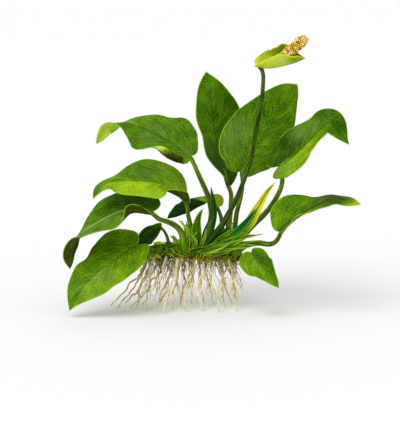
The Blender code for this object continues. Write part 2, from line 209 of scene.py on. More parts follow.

# toneLeft and toneRight run from the stalk to the tip, from 0 (deep green) to 1 (bright yellow-green); they
# carry painted light and shade as well as the leaf's own tone.
# rib is how pale (+) or dark (-) the midrib shows, under is the same tone scale for the lower skin, its low
# values painted shade on undersides in shadow and its high values painted light, and the sheen patches are
# painted grey-green sheen, listed as (along, across, size along, size across, strength).
# Lip patches are painted highlights where the lower skin shows lit, in the same five numbers.
leaves = {
    1: dict(midrib=[(-12, 6, 87), (-27, 14, 96), (-43, 19, 103), (-60.3, 18, 104.3), (-66.4, 20, 93)],
            facing=[(-10, 25), (0, 40), (0, 45), (-20, 55), (-55, 60), (-60, 50)], width=35,
            heart=0.5, belly=0.3, taper=1.8, lobe=2, skew=0,
            riseLeft=[30, 25, 15, 0, 0, -20, 20, 70, 80], curlLeft=[210, 190, 90, 0, 0, 0, 0, 0, 0],
            riseRight=[5, 5, 10, 5, -10, -30, -60, -75, -80],
            edgeLeft=[1.15, 1.2, 1.2, 1.05, 0.84, 0.74, 0.78, 0.96, 1.08, 0.95, 0.65, 0.35, 0.25, 0.3, 0.4,
                      0.6, 0.8],
            edgeRight=[1, 1, 1.02, 0.82, 0.96, 1.2, 1.1, 1.5, 2.4],
            toneLeft=[0.5, 0.45, 0.4, 0.5, 0.3], toneRight=[0.4, 0.4, 0.5, 0.7, 0.3],
            rib=[0.3, -0.5, -0.6, -0.7, -0.4], under=[0.1, 0.1, 0.7, 0.85, 0.6, 0.8, 0.95, 1, 1],
            lipHighlight=[(0.17, -0.95, 0.12, 0.13, 0.48)],
            sheenPatch=[(0.06, 0.05, 0.05, 0.12, 0.8), (0.4, 0.25, 0.12, 0.3, 0.5), (0.4, -0.4, 0.15, 0.3, 0.5)]),
    2: dict(midrib=[(-14, -7, 63), (-26, -5, 72), (-40, -11, 75), (-58, -14, 74), (-66, -19, 66)],
            facing=[(5, 65), (-5, 30), (-45, 45), (-55, 25)], width=29,
            heart=0.6, belly=0.35, taper=2.2, lobe=2, skew=0.1,
            riseLeft=[70, 60, 50, 25, 15, 0, -10, 5, 20], riseRight=[-45, -5, 15, -15, 15],
            edgeRight=[1.2, 1.15, 1.05, 1, 1.05, 1.1, 1.1, 1.3, 1.6],
            edgeLeft=[0.95, 0.95, 0.85, 0.92, 1, 1, 1, 1.2, 1.5],
            toneLeft=[0.6, 0.72, 0.95, 0.85, 0.4], toneRight=[0.7, 0.6, 0.4, 0.55, 0.3],
            rib=[0.2, -0.3, -0.5, -0.4, 0], under=[0.2, 0.25, 0.4, 0.45, 0.4],
            sheenPatch=[(0.42, 0.4, 0.14, 0.3, 0.6), (0.25, 0.6, 0.08, 0.2, 0.4)]),
    3: dict(midrib=[(-33, -15.5, 58), (-46, -11.5, 58.8), (-60, -12.5, 53.8), (-77, -16.5, 42),
                    (-79, -23.5, 27)],
            facing=[(-10, 45), (-5, 50), (-50, 35), (-105, 5)], width=34,
            heart=0.65, belly=0.3, taper=2.3, lobe=3, skew=0.15,
            riseLeft=[65, 58, 37, 30, 29, 28, 25, 40, 65], riseRight=[-5, 0, -10, -45, -5],
            edgeRight=[1.3, 1.15, 1.05, 1, 1, 1, 1.15, 1.25, 1.2],
            edgeLeft=[1.25, 1.05, 1.12, 1.2, 1.17, 1.05, 1.1, 1.15, 1.1],
            toneLeft=[0.4, 0.55, 0.5, 0.5, 0.3], toneRight=[0.45, 0.35, 0.45, 0.5, 0.4],
            rib=[0.1, 0.7, 0.7, 0.4, 0], under=[0.25, 0.25, 0.25, 0.3, 0.3],
            sheenPatch=[(0.62, 0.0, 0.14, 0.2, 0.5), (0.45, -0.2, 0.1, 0.2, 0.4)]),
    4: dict(midrib=[(-42, -14, 39), (-52, -21, 33), (-62, -25, 25), (-71, -27, 16), (-79, -27, 4)],
            facing=[(0, 45), (-25, 40), (-15, 25), (-30, 25)], width=31,
            heart=0.7, belly=0.35, taper=1.9, lobe=5, skew=-0.05,
            riseLeft=[5, -5, 5, 0, 5], riseRight=[30, 10, -5, 20, 5],
            edgeRight=[1.05, 1.08, 1.08, 1.06, 0.98, 1.06, 1.1, 1.2, 1.7],
            edgeLeft=[1, 1, 1, 1, 1, 1, 0.95, 0.7, 0.4],
            toneLeft=[0.6, 0.62, 0.62, 0.72, 0.45], toneRight=[0.55, 0.45, 0.5, 0.5, 0.4],
            rib=[-0.4, -0.5, 0.3, 0.2, -0.3], under=[0.5, 0.5, 0.5, 0.5, 0.5],
            sheenPatch=[(0.5, -0.35, 0.09, 0.3, 0.7), (0.72, -0.5, 0.09, 0.3, 0.65), (0.75, 0.4, 0.08, 0.3, 0.4)]),
    5: dict(midrib=[(-29, 5, 47), (-35, 7, 43), (-41, 12, 38), (-45, 15, 35)],
            facing=[(-10, 45), (-15, 40), (-5, 20), (-5, 25)], width=12,
            heart=0.55, belly=0.35, taper=1.8, lobe=1, skew=0.1,
            riseLeft=[20, 0, -15, -5, 15], riseRight=[-15, -15, 0, 0, -5],
            toneLeft=[0.5, 0.3, 0.25, 0.2, 0.2], toneRight=[0.75, 0.45, 0.3, 0.2, 0.2],
            rib=[0, 0, 0, 0, 0], under=[0.45, 0.4, 0.35, 0.3, 0.3], sheenPatch=[]),
    6: dict(midrib=[(4, 15, 57), (-4, 20, 62), (-12, 27, 58), (-26, 35, 47)],
            facing=[(5, 75), (15, 90), (0, 105), (5, 115)], width=20,
            heart=0.55, belly=0.35, taper=2.0, lobe=1, skew=0,
            riseLeft=[30, 0, 0, 5, 5], riseRight=[25, 0, -15, -20, -15],
            toneLeft=[1.0, 0.9, 0.4, 0.3, 0.2], toneRight=[1.0, 0.9, 0.5, 0.3, 0.2],
            rib=[0, 0, 0, 0, 0], under=[0.9, 0.7, 0.3, 0.35, 0.3], sheenPatch=[]),
    7: dict(midrib=[(10.4, 21, 68), (5, 27, 85), (2, 33, 99), (0, 33, 116), (-3, 28, 134)],
            facing=[(50, 10), (40, -5), (10, 5), (-15, 20)], width=29,
            heart=0.15, belly=0.6, taper=2.1, lobe=0, skew=-0.15,
            riseLeft=[40, 10, 20, 20, -10], riseRight=[5, 10, 5, 10, 5],
            edgeLeft=[1, 1.25, 1.35, 1.12, 1, 1, 1, 1, 1],
            toneLeft=[0.02, 0.2, 0.42, 0.4, 0.55], toneRight=[0.02, 0.25, 0.3, 0.38, 0.5],
            rib=[-0.3, -0.6, -0.5, -0.4, 0], under=[0.3, 0.45, 0.5, 0.5, 0.5], sheenPatch=[]),
    8: dict(midrib=[(17, 9, 78), (23, 8, 89), (32, 11, 101), (40, 10, 115), (49, 15, 127.3)],
            facing=[(30, 5), (-5, 15), (0, 20), (20, 20)], width=38,
            heart=0.6, belly=0.35, taper=2.0, lobe=2, skew=0.15,
            riseLeft=[5, 0, 0, -5, 15], riseRight=[-5, -10, -5, -15, -10],
            edgeLeft=[1, 1, 1, 1, 1.05, 1.08, 1.1, 1.2, 1.7], edgeRight=[1, 1, 1, 1, 1, 1, 1.05, 1.1, 1.5],
            toneLeft=[0.5, 0.42, 0.36, 0.42, 0.55], toneRight=[0.55, 0.5, 0.42, 0.4, 0.5],
            rib=[0.3, -0.3, -0.4, -0.3, 0], under=[0.5, 0.52, 0.52, 0.5, 0.5],
            sheenPatch=[(0.2, -0.7, 0.14, 0.3, 0.6), (0.35, -0.75, 0.12, 0.25, 0.4),
                   (0.3, -0.25, 0.12, 0.2, 0.3)]),
    9: dict(midrib=[(38, 0, 82), (46, -2, 88), (55, -4, 97), (66, -10, 107), (77, -9, 95)],
            facing=[(5, 40), (-5, 40), (-15, 35), (20, 45)], width=26,
            heart=0.7, belly=0.4, taper=1.9, lobe=6, skew=0.05,
            riseLeft=[0, 15, -15, 15, -10], riseRight=[10, 25, 35, 15, 0],
            edgeLeft=[1.1, 1.05, 1, 1, 1, 1, 0.97, 0.9, 0.9], edgeRight=[1.15, 1.1, 1, 1, 1, 1, 1, 1, 1],
            toneLeft=[0.2, 0.2, 0.45, 0.25, 0.4], toneRight=[0.7, 0.78, 0.7, 0.35, 0.4],
            rib=[-0.5, -0.6, -0.6, -0.3, 0], under=[0.5, 0.5, 0.5, 0.5, 0.5],
            sheenPatch=[(0.4, -0.55, 0.1, 0.35, 0.85), (0.55, -0.35, 0.07, 0.3, 0.7), (0.08, 0.4, 0.1, 0.3, 0.6)]),
    10: dict(midrib=[(38, -17, 47), (44, -19, 53), (54, -22, 60), (67, -24, 66), (82, -28, 64)],
             facing=[(0, 50), (5, 70), (-5, 60), (-5, 70)], width=28,
             heart=0.6, belly=0.3, taper=1.8, lobe=2, skew=0.1,
             riseLeft=[25, 35, -10, -20, 15], riseRight=[29, 27, 21, 12, -10],
             edgeRight=[0.2, 0.55, 0.8, 0.9, 0.9, 1, 1.1, 1.3, 1.6],
             edgeLeft=[1.05, 1.05, 1.03, 1, 1, 1, 1.05, 1.1, 1.3],
             toneLeft=[0.58, 0.52, 0.48, 0.42, 0.35, 0.2, 0.05, 0.6, 1.0],
             toneRight=[0.6, 0.6, 0.6, 0.55, 0.5, 0.35, 0.1, 0.75, 1.0], ribWidth=1.3,
             rib=[-0.9, -0.9, -0.9, -0.3, 0], under=[0.5, 0.45, 0.4, 0.3, 0.9],
             sheenPatch=[(0.7, -0.1, 0.15, 0.75, 0.95)], finish="agedLeafTop"),
    11: dict(midrib=[(22, -21, 36), (26, -27, 31), (30, -31, 27), (37, -32, 18)],
             facing=[(10, 50), (10, 30), (10, 40), (10, 15)], width=17,
             heart=0.65, belly=0.3, taper=1.5, lobe=2, skew=-0.05,
             riseLeft=[25, -10, 10, 5, 5], riseRight=[-10, -15, -20, -5, 30],
             edgeRight=[1.3, 1.2, 1.1, 1.05, 1, 1, 1, 1.1, 1.4],
             edgeLeft=[1.05, 1.05, 1, 1, 1, 1, 1, 1.1, 1.4],
             toneLeft=[0.45, 0.3, 0.35, 0.45, 0.5], toneRight=[0.62, 0.58, 0.58, 0.55, 0.5],
             rib=[-0.3, -0.3, -0.2, 0, 0], under=[0.5, 0.5, 0.5, 0.5, 0.5],
             sheenPatch=[(0.3, 0.1, 0.1, 0.2, 0.4)]),
}

shadedLeaves = (5, 6)  # small ones behind the stalks, drawn in deep greens as painted shade

youngBlade = {**bladeShape, "rows": 60, "columns": 10, "keelHeight": 0.4, "grooveDepth": 0.2,
              "veinsPerSide": 6, "veinDepth": 0.05, "rippleHeight": 0.2, "cornerRound": 0.3}
youngLeafShape = dict(facing=[(0, 20)] * 4, heart=0.3, belly=0.45, taper=1.6, lobe=0, skew=0,
                      riseLeft=[30, 40, 40, 40, 30], riseRight=[30, 40, 40, 40, 30],
                      under=[0.4] * 5, sheenPatch=[])
youngLeaves = {
    1: dict(midrib=[(8, -5, 37), (20, -9, 49), (26.5, -9, 60), (31, -8.5, 68), (36, -8, 74)], width=8,
            toneLeft=[0.6, 0.8, 0.95, 0.9, 0.3], toneRight=[0.6, 0.7, 0.9, 0.9, 0.3],
            rib=[-0.6, -0.9, -1, -1, -0.8], finish="youngLeaf"),
    2: dict(midrib=[(5, -9, 37.5), (14, -12, 45.5), (20, -12.5, 52.5), (25.6, -12, 60)], width=6,
            toneLeft=[0.5, 0.5, 0.4, 0.2, 0.1], toneRight=[0.4, 0.6, 0.5, 0.3, 0.1],
            rib=[0, -0.4, -0.4, -0.3, 0], finish="emeraldLeaf"),
    3: dict(midrib=[(-7, -3, 37), (-8.5, -6, 45), (-7.5, -8, 53), (-5, -8, 59)], width=7.5,
            toneLeft=[0.5, 0.5, 0.45, 0.35, 0.3], toneRight=[0.4, 0.3, 0.2, 0.2, 0.3],
            rib=[0, 0, 0, 0, 0], finish="leafTop"),
}


def bentHalf(leaf, side, along, share):
    # How far out and up each point of a half blade lies: rise bends it all, curl rolls its outer part
    rise = smoothCurve(leaf["rise" + side], along)
    curl = smoothCurve(leaf.get("curl" + side, [0, 0]), along)
    middle = (share[1:] + share[:-1]) / 2
    angle = np.radians(rise * (0.4 + 1.2 * middle) + curl * np.clip((middle - 0.55) / 0.45, 0, 1))
    start = np.zeros((len(along), 1))
    return [np.hstack([start, np.cumsum(part(angle) * np.diff(share), axis=1)]) for part in (np.cos, np.sin)]


def bladeSheet(leaf, shape, phase):
    # The middle surface of a blade and everything its skins and finishes need, as grids
    rows, columns = shape["rows"], shape["columns"]
    along, centres, ahead, side, up = bladeFrames(leaf, rows)
    step = np.linspace(0, 1, columns + 1)
    half = step - 0.7 * np.sin(2 * math.pi * step) / (2 * math.pi)
    left, right = bentHalf(leaf, "Left", along, half), bentHalf(leaf, "Right", along, half)
    out, lift = (np.hstack([l[:, :0:-1], r]) for l, r in zip(left, right))
    share = np.r_[half[:0:-1], half][None, :]
    sign = np.where(np.arange(2 * columns + 1) >= columns, 1.0, -1.0)
    u = along[:, None]
    width = halfWidth(leaf, along)[:, None] * np.where(
        sign > 0, (1 - leaf["skew"]) * smoothCurve(leaf.get("edgeRight", [1, 1]), along),
        (1 + leaf["skew"]) * smoothCurve(leaf.get("edgeLeft", [1, 1]), along))
    back = leaf["lobe"] * np.sin(math.pi * share ** 0.8) * np.maximum(1 - u / 0.35, 0) ** 2
    back = back - shape["cornerRound"] * leaf["width"] / 30 * share ** 6 * np.maximum(
        1 - u / shape["cornerReach"], 0) ** 2
    ripple = shape["rippleHeight"] * leaf["width"] / 30 * share ** 3 * np.sin(
        2 * math.pi * shape["rippleCount"] * u + phase + 1.7 * sign) * np.sin(math.pi * u) ** 0.5
    points = (centres[:, None] + side[:, None] * (sign * out * width)[..., None]
              + up[:, None] * (lift * width + ripple)[..., None] - ahead[:, None] * back[..., None])
    normals = unit(np.cross(np.gradient(points, axis=1), np.gradient(points, axis=0)))
    length = np.linalg.norm(np.diff(centres, axis=0), axis=1).sum()
    across = sign * share * width
    rootWards = u - shape["veinLean"] * share - shape["veinCurve"] * share ** 2
    veinPhase = rootWards * shape["veinsPerSide"] + 0.25 * sign + phase
    toVein = np.abs(veinPhase % 1 - 0.5) / shape["veinsPerSide"] * length
    edge = np.minimum(np.minimum((1 - share) * width, u * length + 0 * share), (1 - u) * length * 0.6)
    return dict(points=points, normals=normals, u=u + 0 * share, across=across, length=length,
                veinPhase=veinPhase, toVein=toVein, edge=edge, share=share + 0 * u, sign=sign + 0 * u,
                rootWards=rootWards)


def makeBlade(name, leaf, finishes, shape=bladeShape, phase=0.0):
    sheet = bladeSheet(leaf, shape, phase)
    points, normals, u, share = sheet["points"], sheet["normals"], sheet["u"], sheet["share"]
    rounding = np.sqrt(np.clip(1 - (1 - np.clip(sheet["edge"] / shape["edgeRound"], 0, 1)) ** 2, 0, 1))
    middle = np.abs(sheet["across"])
    groove = shape["grooveDepth"] * np.exp(-(middle / shape["grooveWidth"]) ** 2) * (1 - u) ** 0.4
    keel = shape["keelHeight"] * np.exp(-(middle / shape["keelWidth"]) ** 2) * (1 - u) ** 0.8
    vein = shape["veinDepth"] * np.exp(-(sheet["toVein"] / shape["veinWidth"]) ** 2)
    vein = vein * np.clip(share * 6, 0, 1) * (1 - share ** 4)
    half = shape["thickness"] / 2
    above = (half - (groove + vein) * 0.9) * rounding
    below = (half + keel + vein * 0.8 - groove * 0.5) * rounding
    rows, columns = points.shape[:2]
    top = np.arange(rows * columns).reshape(rows, columns)
    inside = np.zeros((rows, columns), bool)
    inside[1:-1, 1:-1] = True
    bottom = top.copy()
    bottom[inside] = rows * columns + np.arange(inside.sum())
    places = np.concatenate([(points + normals * above[..., None]).reshape(-1, 3),
                             (points - normals * below[..., None])[inside]])
    quads = [np.stack([g[:-1, :-1], g[:-1, 1:], g[1:, 1:], g[1:, :-1]], -1).reshape(-1, 4)
             for g in (top, bottom)]
    faces = np.concatenate([quads[0], quads[1][:, ::-1]])
    skin = np.repeat([0, 1], len(quads[0]))
    # The four corner faces of each skin are cut from their inner point, so the skins share no edge there
    innerPoint = np.concatenate([inside.ravel(), np.ones(inside.sum(), bool)])[faces]
    corner = innerPoint.sum(1) == 1
    fans = [np.roll(face, -int(np.argmax(row))) for face, row in zip(faces[corner], innerPoint[corner])]
    triangles = [fan[pick].tolist() for fan in fans for pick in ([0, 1, 2], [0, 2, 3])]
    mesh = bpy.data.meshes.new(name)
    mesh.from_pydata((places + plantShift) * mm, [], faces[~corner].tolist() + triangles)
    both = lambda grid: np.concatenate([grid.reshape(-1), grid[inside]])
    stations = smoothCurve(leaf["toneLeft"], u.ravel()).reshape(u.shape)
    other = smoothCurve(leaf["toneRight"], u.ravel()).reshape(u.shape)
    mix = np.clip(sheet["sign"] * share / 0.3 + 0.5, 0, 1)
    addNumbers(mesh, "tone", both(stations * (1 - mix) + other * mix))
    under = smoothCurve(leaf["under"], u.ravel()).reshape(u.shape)
    for at, over, sizeAlong, sizeAcross, strength in leaf.get("lipHighlight", []):
        under = under + strength * np.exp(-((u - at) / sizeAlong) ** 2
                                          - ((sheet["sign"] * share - over) / sizeAcross) ** 2)
    addNumbers(mesh, "underTone", both(under))
    ribWidth = leaf.get("ribWidth", shape["ribWidth"]) * (1 - u) ** 0.5 + shape["ribLeast"]
    rib = smoothCurve(leaf["rib"], u.ravel()).reshape(u.shape) * np.exp(-(middle / ribWidth) ** 2)
    addNumbers(mesh, "rib", both(rib))
    sheenPatch = np.zeros(u.shape)
    for at, over, sizeAlong, sizeAcross, strength in leaf["sheenPatch"]:
        sheenPatch += strength * np.exp(-((u - at) / sizeAlong) ** 2
                                   - ((sheet["sign"] * share - over) / sizeAcross) ** 2)
    addNumbers(mesh, "sheenPatch", both(np.clip(sheenPatch, 0, 1)))
    addNumbers(mesh, "edgeGap", both(sheet["edge"]))
    addNumbers(mesh, "veinPhase", both(sheet["veinPhase"]))
    maps = {"bladeMap": (sheet["across"], u * sheet["length"]),
            "veinMap": (sheet["sign"] * middle, sheet["rootWards"] * sheet["length"])}
    corners = np.r_[faces[~corner].ravel(), np.ravel(triangles)]
    for label, (first, second) in maps.items():
        layer = mesh.uv_layers.new(name=label)
        flat = np.stack([both(first), both(second)], -1)[corners]
        layer.data.foreach_set("uv", flat.astype(np.float32).ravel())
    for finish in finishes:
        mesh.materials.append(finish)
    skin = np.r_[skin[~corner], np.repeat(skin[corner], 2)]
    mesh.polygons.foreach_set("material_index", skin.astype(np.int32))
    mesh.shade_smooth()
    mesh.update()
    return newPiece(name, mesh)


# Leaf finishes: leathery and waxy on top, so softly lit with no hard shine, and duller underneath

leafLooks = {
    "leafTop": dict(colours=["#1c3c00", "#345d00", "#528002", "#789f08", "#a3c51c"], toneFrom="tone",
                    sheenPatch="#65843f", rim="#93bf22", ribPale="#a5c488", ribDark="#1f4205",
                    roughness=0.55, specular=0.06),
    # Deep greens, used as painted shade on blades that sit in shadow
    "darkLeafTop": dict(colours=["#122c02", "#1d4202", "#2c5a03", "#587f0a", "#97b61c"], toneFrom="tone",
                        sheenPatch="#567a45", rim="#5c8a12", ribPale="#6f9450", ribDark="#0c2403",
                        roughness=0.6, specular=0.03),
    "youngLeaf": dict(colours=["#1f4a08", "#437c08", "#7aa80c", "#bcc916", "#e3e02c"], toneFrom="tone",
                      sheenPatch="#9fb060", rim="#d3d62a", ribPale="#d0dc80", ribDark="#24480a",
                      roughness=0.45, specular=0.15),
    "emeraldLeaf": dict(colours=["#04300e", "#0a5217", "#157320", "#3a9a26", "#7cc22e"], toneFrom="tone",
                        sheenPatch="#5f9a60", rim="#3f9a26", ribPale="#8cc070", ribDark="#032a0c",
                        roughness=0.45, specular=0.15),
    "darkLeafUnderside": dict(colours=["#0a2603", "#123a03", "#1d5405", "#357009", "#6a9a1a"],
                              toneFrom="underTone", sheenPatch="#35552a", rim="#3f6a14", ribPale="#4f7530",
                              ribDark="#031405", roughness=0.6, specular=0.03,
                              pattern={"strokeStrength": 1.2, "patchStrength": 0.3}),
    "leafUnderside": dict(colours=["#1a2400", "#314002", "#60780e", "#9ac42c", "#c8e44c"],
                          toneFrom="underTone", sheenPatch="#8da070", rim="#8fb02c", ribPale="#a9c46a",
                          ribDark="#27350a", roughness=0.65, specular=0.03,
                          pattern={"strokeStrength": 1.0, "mottleStrength": 0.5, "patchStrength": 0.3}),
}
leafLooks["agedLeafTop"] = {**leafLooks["leafTop"], "sheenPatch": "#4e4c02"}  # its patches are drawn in dark olive-brown
# Real leaf cells are finer than a pixel, so strokes and mottling are drawn coarser here, to show
leafPattern = {
    "strokeLength": 5.5, "strokeWidth": 0.8, "strokeStrength": 1.4,
    "mottleSize": 0.8, "mottleStrength": 0.95,
    "patchSize": 8.0, "patchStrength": 0.6,
    "veinLine": 0.09, "veinShade": 0.28,
    "rimWidth": 0.55, "bumpDepth": 0.12,
}


def makeLeafFinish(name, look):
    material, tree, shader = startMaterial(name, look["roughness"], look["specular"])
    p = {**leafPattern, **look.get("pattern", {})}
    tone = addNode(tree, "ShaderNodeAttribute", attribute_name=look["toneFrom"]).outputs["Fac"]
    veinMap = addNode(tree, "ShaderNodeUVMap", uv_map="veinMap").outputs[0]
    bladeMap = addNode(tree, "ShaderNodeUVMap", uv_map="bladeMap").outputs[0]
    along = addNode(tree, "ShaderNodeMapping", {
        "Vector": veinMap, "Scale": (1 / p["strokeLength"], 1 / p["strokeWidth"], 1)}).outputs[0]
    strokes = addNode(tree, "ShaderNodeTexNoise", {
        "Vector": along, "Scale": 1.0, "Detail": 3.0, "Roughness": 0.6}).outputs["Fac"]
    mottle = addNode(tree, "ShaderNodeTexNoise", {
        "Vector": bladeMap, "Scale": 1 / p["mottleSize"], "Detail": 2.0}).outputs["Fac"]
    patches = addNode(tree, "ShaderNodeTexNoise", {
        "Vector": bladeMap, "Scale": 1 / p["patchSize"], "Detail": 1.0}).outputs["Fac"]
    for pattern, strength in ((strokes, p["strokeStrength"]), (mottle, p["mottleStrength"]),
                              (patches, p["patchStrength"])):
        centred = addNode(tree, "ShaderNodeMath", {0: pattern, 1: 0.5}, operation="SUBTRACT").outputs[0]
        tone = addNode(tree, "ShaderNodeMath", {0: centred, 1: strength, 2: tone},
                       operation="MULTIPLY_ADD").outputs[0]
    colour = addNode(tree, "ShaderNodeValToRGB", {"Fac": tone}, ramp=[
        (k / 4, c) for k, c in zip((0, 4, 1, 2, 3), [look["colours"][k] for k in (0, 4, 1, 2, 3)])
    ]).outputs[0]
    phase = addNode(tree, "ShaderNodeAttribute", attribute_name="veinPhase").outputs["Fac"]
    fraction = addNode(tree, "ShaderNodeMath", {0: phase}, operation="FRACT").outputs[0]
    offset = addNode(tree, "ShaderNodeMath", {0: fraction, 1: 0.5}, operation="SUBTRACT").outputs[0]
    away = addNode(tree, "ShaderNodeMath", {0: offset}, operation="ABSOLUTE").outputs[0]
    veinLine = addNode(tree, "ShaderNodeMapRange", {
        0: away, 1: 0.0, 2: p["veinLine"], 3: p["veinShade"], 4: 0.0}).outputs[0]
    veinShown = addNode(tree, "ShaderNodeMath", {0: veinLine, 1: patches}, operation="MULTIPLY").outputs[0]
    # Painted sheen: grey-green patches, grained by the strokes
    sheenAt = addNode(tree, "ShaderNodeAttribute", attribute_name="sheenPatch").outputs["Fac"]
    sheenGrain = addNode(tree, "ShaderNodeMapRange",
                         {0: strokes, 1: 0.35, 2: 0.65, 3: 0.25, 4: 1.0}).outputs[0]
    sheenShown = addNode(tree, "ShaderNodeMath", {0: sheenAt, 1: sheenGrain}, operation="MULTIPLY").outputs[0]
    rib = addNode(tree, "ShaderNodeAttribute", attribute_name="rib").outputs["Fac"]
    ribDark = addNode(tree, "ShaderNodeMath", {0: rib, 1: -1.0}, operation="MULTIPLY",
                      use_clamp=True).outputs[0]
    ribPale = addNode(tree, "ShaderNodeMath", {0: rib, 1: 1.0}, operation="MULTIPLY",
                      use_clamp=True).outputs[0]
    gap = addNode(tree, "ShaderNodeAttribute", attribute_name="edgeGap").outputs["Fac"]
    rimShown = addNode(tree, "ShaderNodeMapRange", {
        0: gap, 1: 0.15, 2: p["rimWidth"], 3: 0.85, 4: 0.0}).outputs[0]
    for mask, shade in ((veinShown, look["ribDark"]), (sheenShown, look["sheenPatch"]),
                        (ribDark, look["ribDark"]), (ribPale, look["ribPale"]), (rimShown, look["rim"])):
        colour = addNode(tree, "ShaderNodeMix", {0: mask, 6: colour, 7: paint(shade)},
                         data_type="RGBA").outputs[2]
    tree.links.new(colour, shader.inputs["Base Color"])
    bump = addNode(tree, "ShaderNodeBump", {"Height": strokes, "Strength": 0.5,
                                            "Distance": p["bumpDepth"] * mm}).outputs[0]
    tree.links.new(bump, shader.inputs["Normal"])
    return material


finishes = {name: makeLeafFinish(name, look) for name, look in leafLooks.items()}


# Stalks, roots and the spadix core: round stems grown along paths by one tree

def makeStemTree():
    tree, given = startTree("stemAlongPath", {
        "Sides": ("Int", 12), "Wobble": ("Float", 0.0), "Wobble Size": ("Float", 0.01),
        "Knots": ("Float", 0.0), "Knot Size": ("Float", 0.004), "Seed": ("Float", 0.0),
        "Material": ("Material", None)})
    path = addNode(tree, "GeometryNodeMeshToCurve", {0: given["Geometry"]}).outputs[0]
    here = addNode(tree, "GeometryNodeInputPosition").outputs[0]
    moved = addNode(tree, "ShaderNodeVectorMath", {0: here, 1: given["Seed"]}, operation="ADD").outputs[0]
    pitch = addNode(tree, "ShaderNodeMath", {0: 1.0, 1: given["Wobble Size"]}, operation="DIVIDE").outputs[0]
    drift = addNode(tree, "ShaderNodeTexNoise", {
        "Vector": moved, "Scale": pitch, "Detail": 2.0, "Roughness": 0.6}).outputs["Color"]
    centred = addNode(tree, "ShaderNodeVectorMath", {0: drift, 1: (0.5, 0.5, 0.5)},
                      operation="SUBTRACT").outputs[0]
    freedom = addNode(tree, "GeometryNodeInputNamedAttribute", {"Name": "stemFreedom"},
                      data_type="FLOAT").outputs[0]
    reach = addNode(tree, "ShaderNodeMath", {0: freedom, 1: given["Wobble"]}, operation="MULTIPLY").outputs[0]
    shift = addNode(tree, "ShaderNodeVectorMath", {0: centred, "Scale": reach}, operation="SCALE").outputs[0]
    path = addNode(tree, "GeometryNodeSetPosition", {"Geometry": path, "Offset": shift}).outputs[0]
    ring = addNode(tree, "GeometryNodeCurvePrimitiveCircle", {
        "Resolution": given["Sides"], "Radius": 1.0}).outputs[0]
    ring = addNode(tree, "GeometryNodeStoreNamedAttribute", {
        "Geometry": ring, "Name": "ringPlace", "Value": here}, data_type="FLOAT_VECTOR").outputs[0]
    radius = addNode(tree, "GeometryNodeInputNamedAttribute", {"Name": "stemRadius"},
                     data_type="FLOAT").outputs[0]
    knotPitch = addNode(tree, "ShaderNodeMath", {0: 1.0, 1: given["Knot Size"]},
                        operation="DIVIDE").outputs[0]
    knots = addNode(tree, "ShaderNodeTexNoise", {"Vector": moved, "Scale": knotPitch}).outputs["Fac"]
    knots = addNode(tree, "ShaderNodeMath", {0: knots, 1: 0.5}, operation="SUBTRACT").outputs[0]
    swell = addNode(tree, "ShaderNodeMath", {0: knots, 1: given["Knots"], 2: 1.0},
                    operation="MULTIPLY_ADD").outputs[0]
    radius = addNode(tree, "ShaderNodeMath", {0: radius, 1: swell}, operation="MULTIPLY").outputs[0]
    stem = addNode(tree, "GeometryNodeCurveToMesh", {
        "Curve": path, "Profile Curve": ring, "Scale": radius, "Fill Caps": True}).outputs[0]
    stem = addNode(tree, "GeometryNodeSetShadeSmooth", {"Geometry": stem}).outputs[0]
    stem = addNode(tree, "GeometryNodeRealizeInstances", {"Geometry": stem}).outputs[0]
    stem = addNode(tree, "GeometryNodeSetMaterial",
                   {"Geometry": stem, "Material": given["Material"]}).outputs[0]
    addNode(tree, "NodeGroupOutput", {0: stem})
    return tree


stemTree = makeStemTree()


def makeStem(name, strands, finish, sides=12, wobble=0.0, wobbleSize=10.0, knots=0.0, knotSize=4.0, seed=0.0):
    # Each strand is its points, its radii, and how freely each point may wobble
    places, edges, radii, freedom, along = [], [], [], [], []
    for points, radius, free in strands:
        first = len(places)
        places.extend((points + plantShift) * mm)
        edges.extend((first + k, first + k + 1) for k in range(len(points) - 1))
        radii.extend(np.asarray(radius) * mm)
        freedom.extend(free)
        along.extend(np.r_[0, np.cumsum(np.linalg.norm(np.diff(points, axis=0), axis=1))])
    mesh = bpy.data.meshes.new(name + "Path")
    mesh.from_pydata(np.array(places), edges, [])
    addNumbers(mesh, "stemRadius", radii)
    addNumbers(mesh, "stemFreedom", freedom)
    addNumbers(mesh, "stemAlong", along)
    return grow(newPiece(name, mesh), stemTree, {
        "Sides": sides, "Wobble": wobble * mm, "Wobble Size": wobbleSize * mm, "Knots": knots,
        "Knot Size": knotSize * mm, "Seed": seed, "Material": finish})


# Stem finishes

stalkLooks = {
    "stalk": dict(colours=["#263402", "#3e5606", "#587608", "#7e9c14", "#b0c834"], foot="#5c8410"),
    "darkStalk": dict(colours=["#182000", "#283a01", "#3a5203", "#547008", "#86982a"], foot="#2a5412"),
}


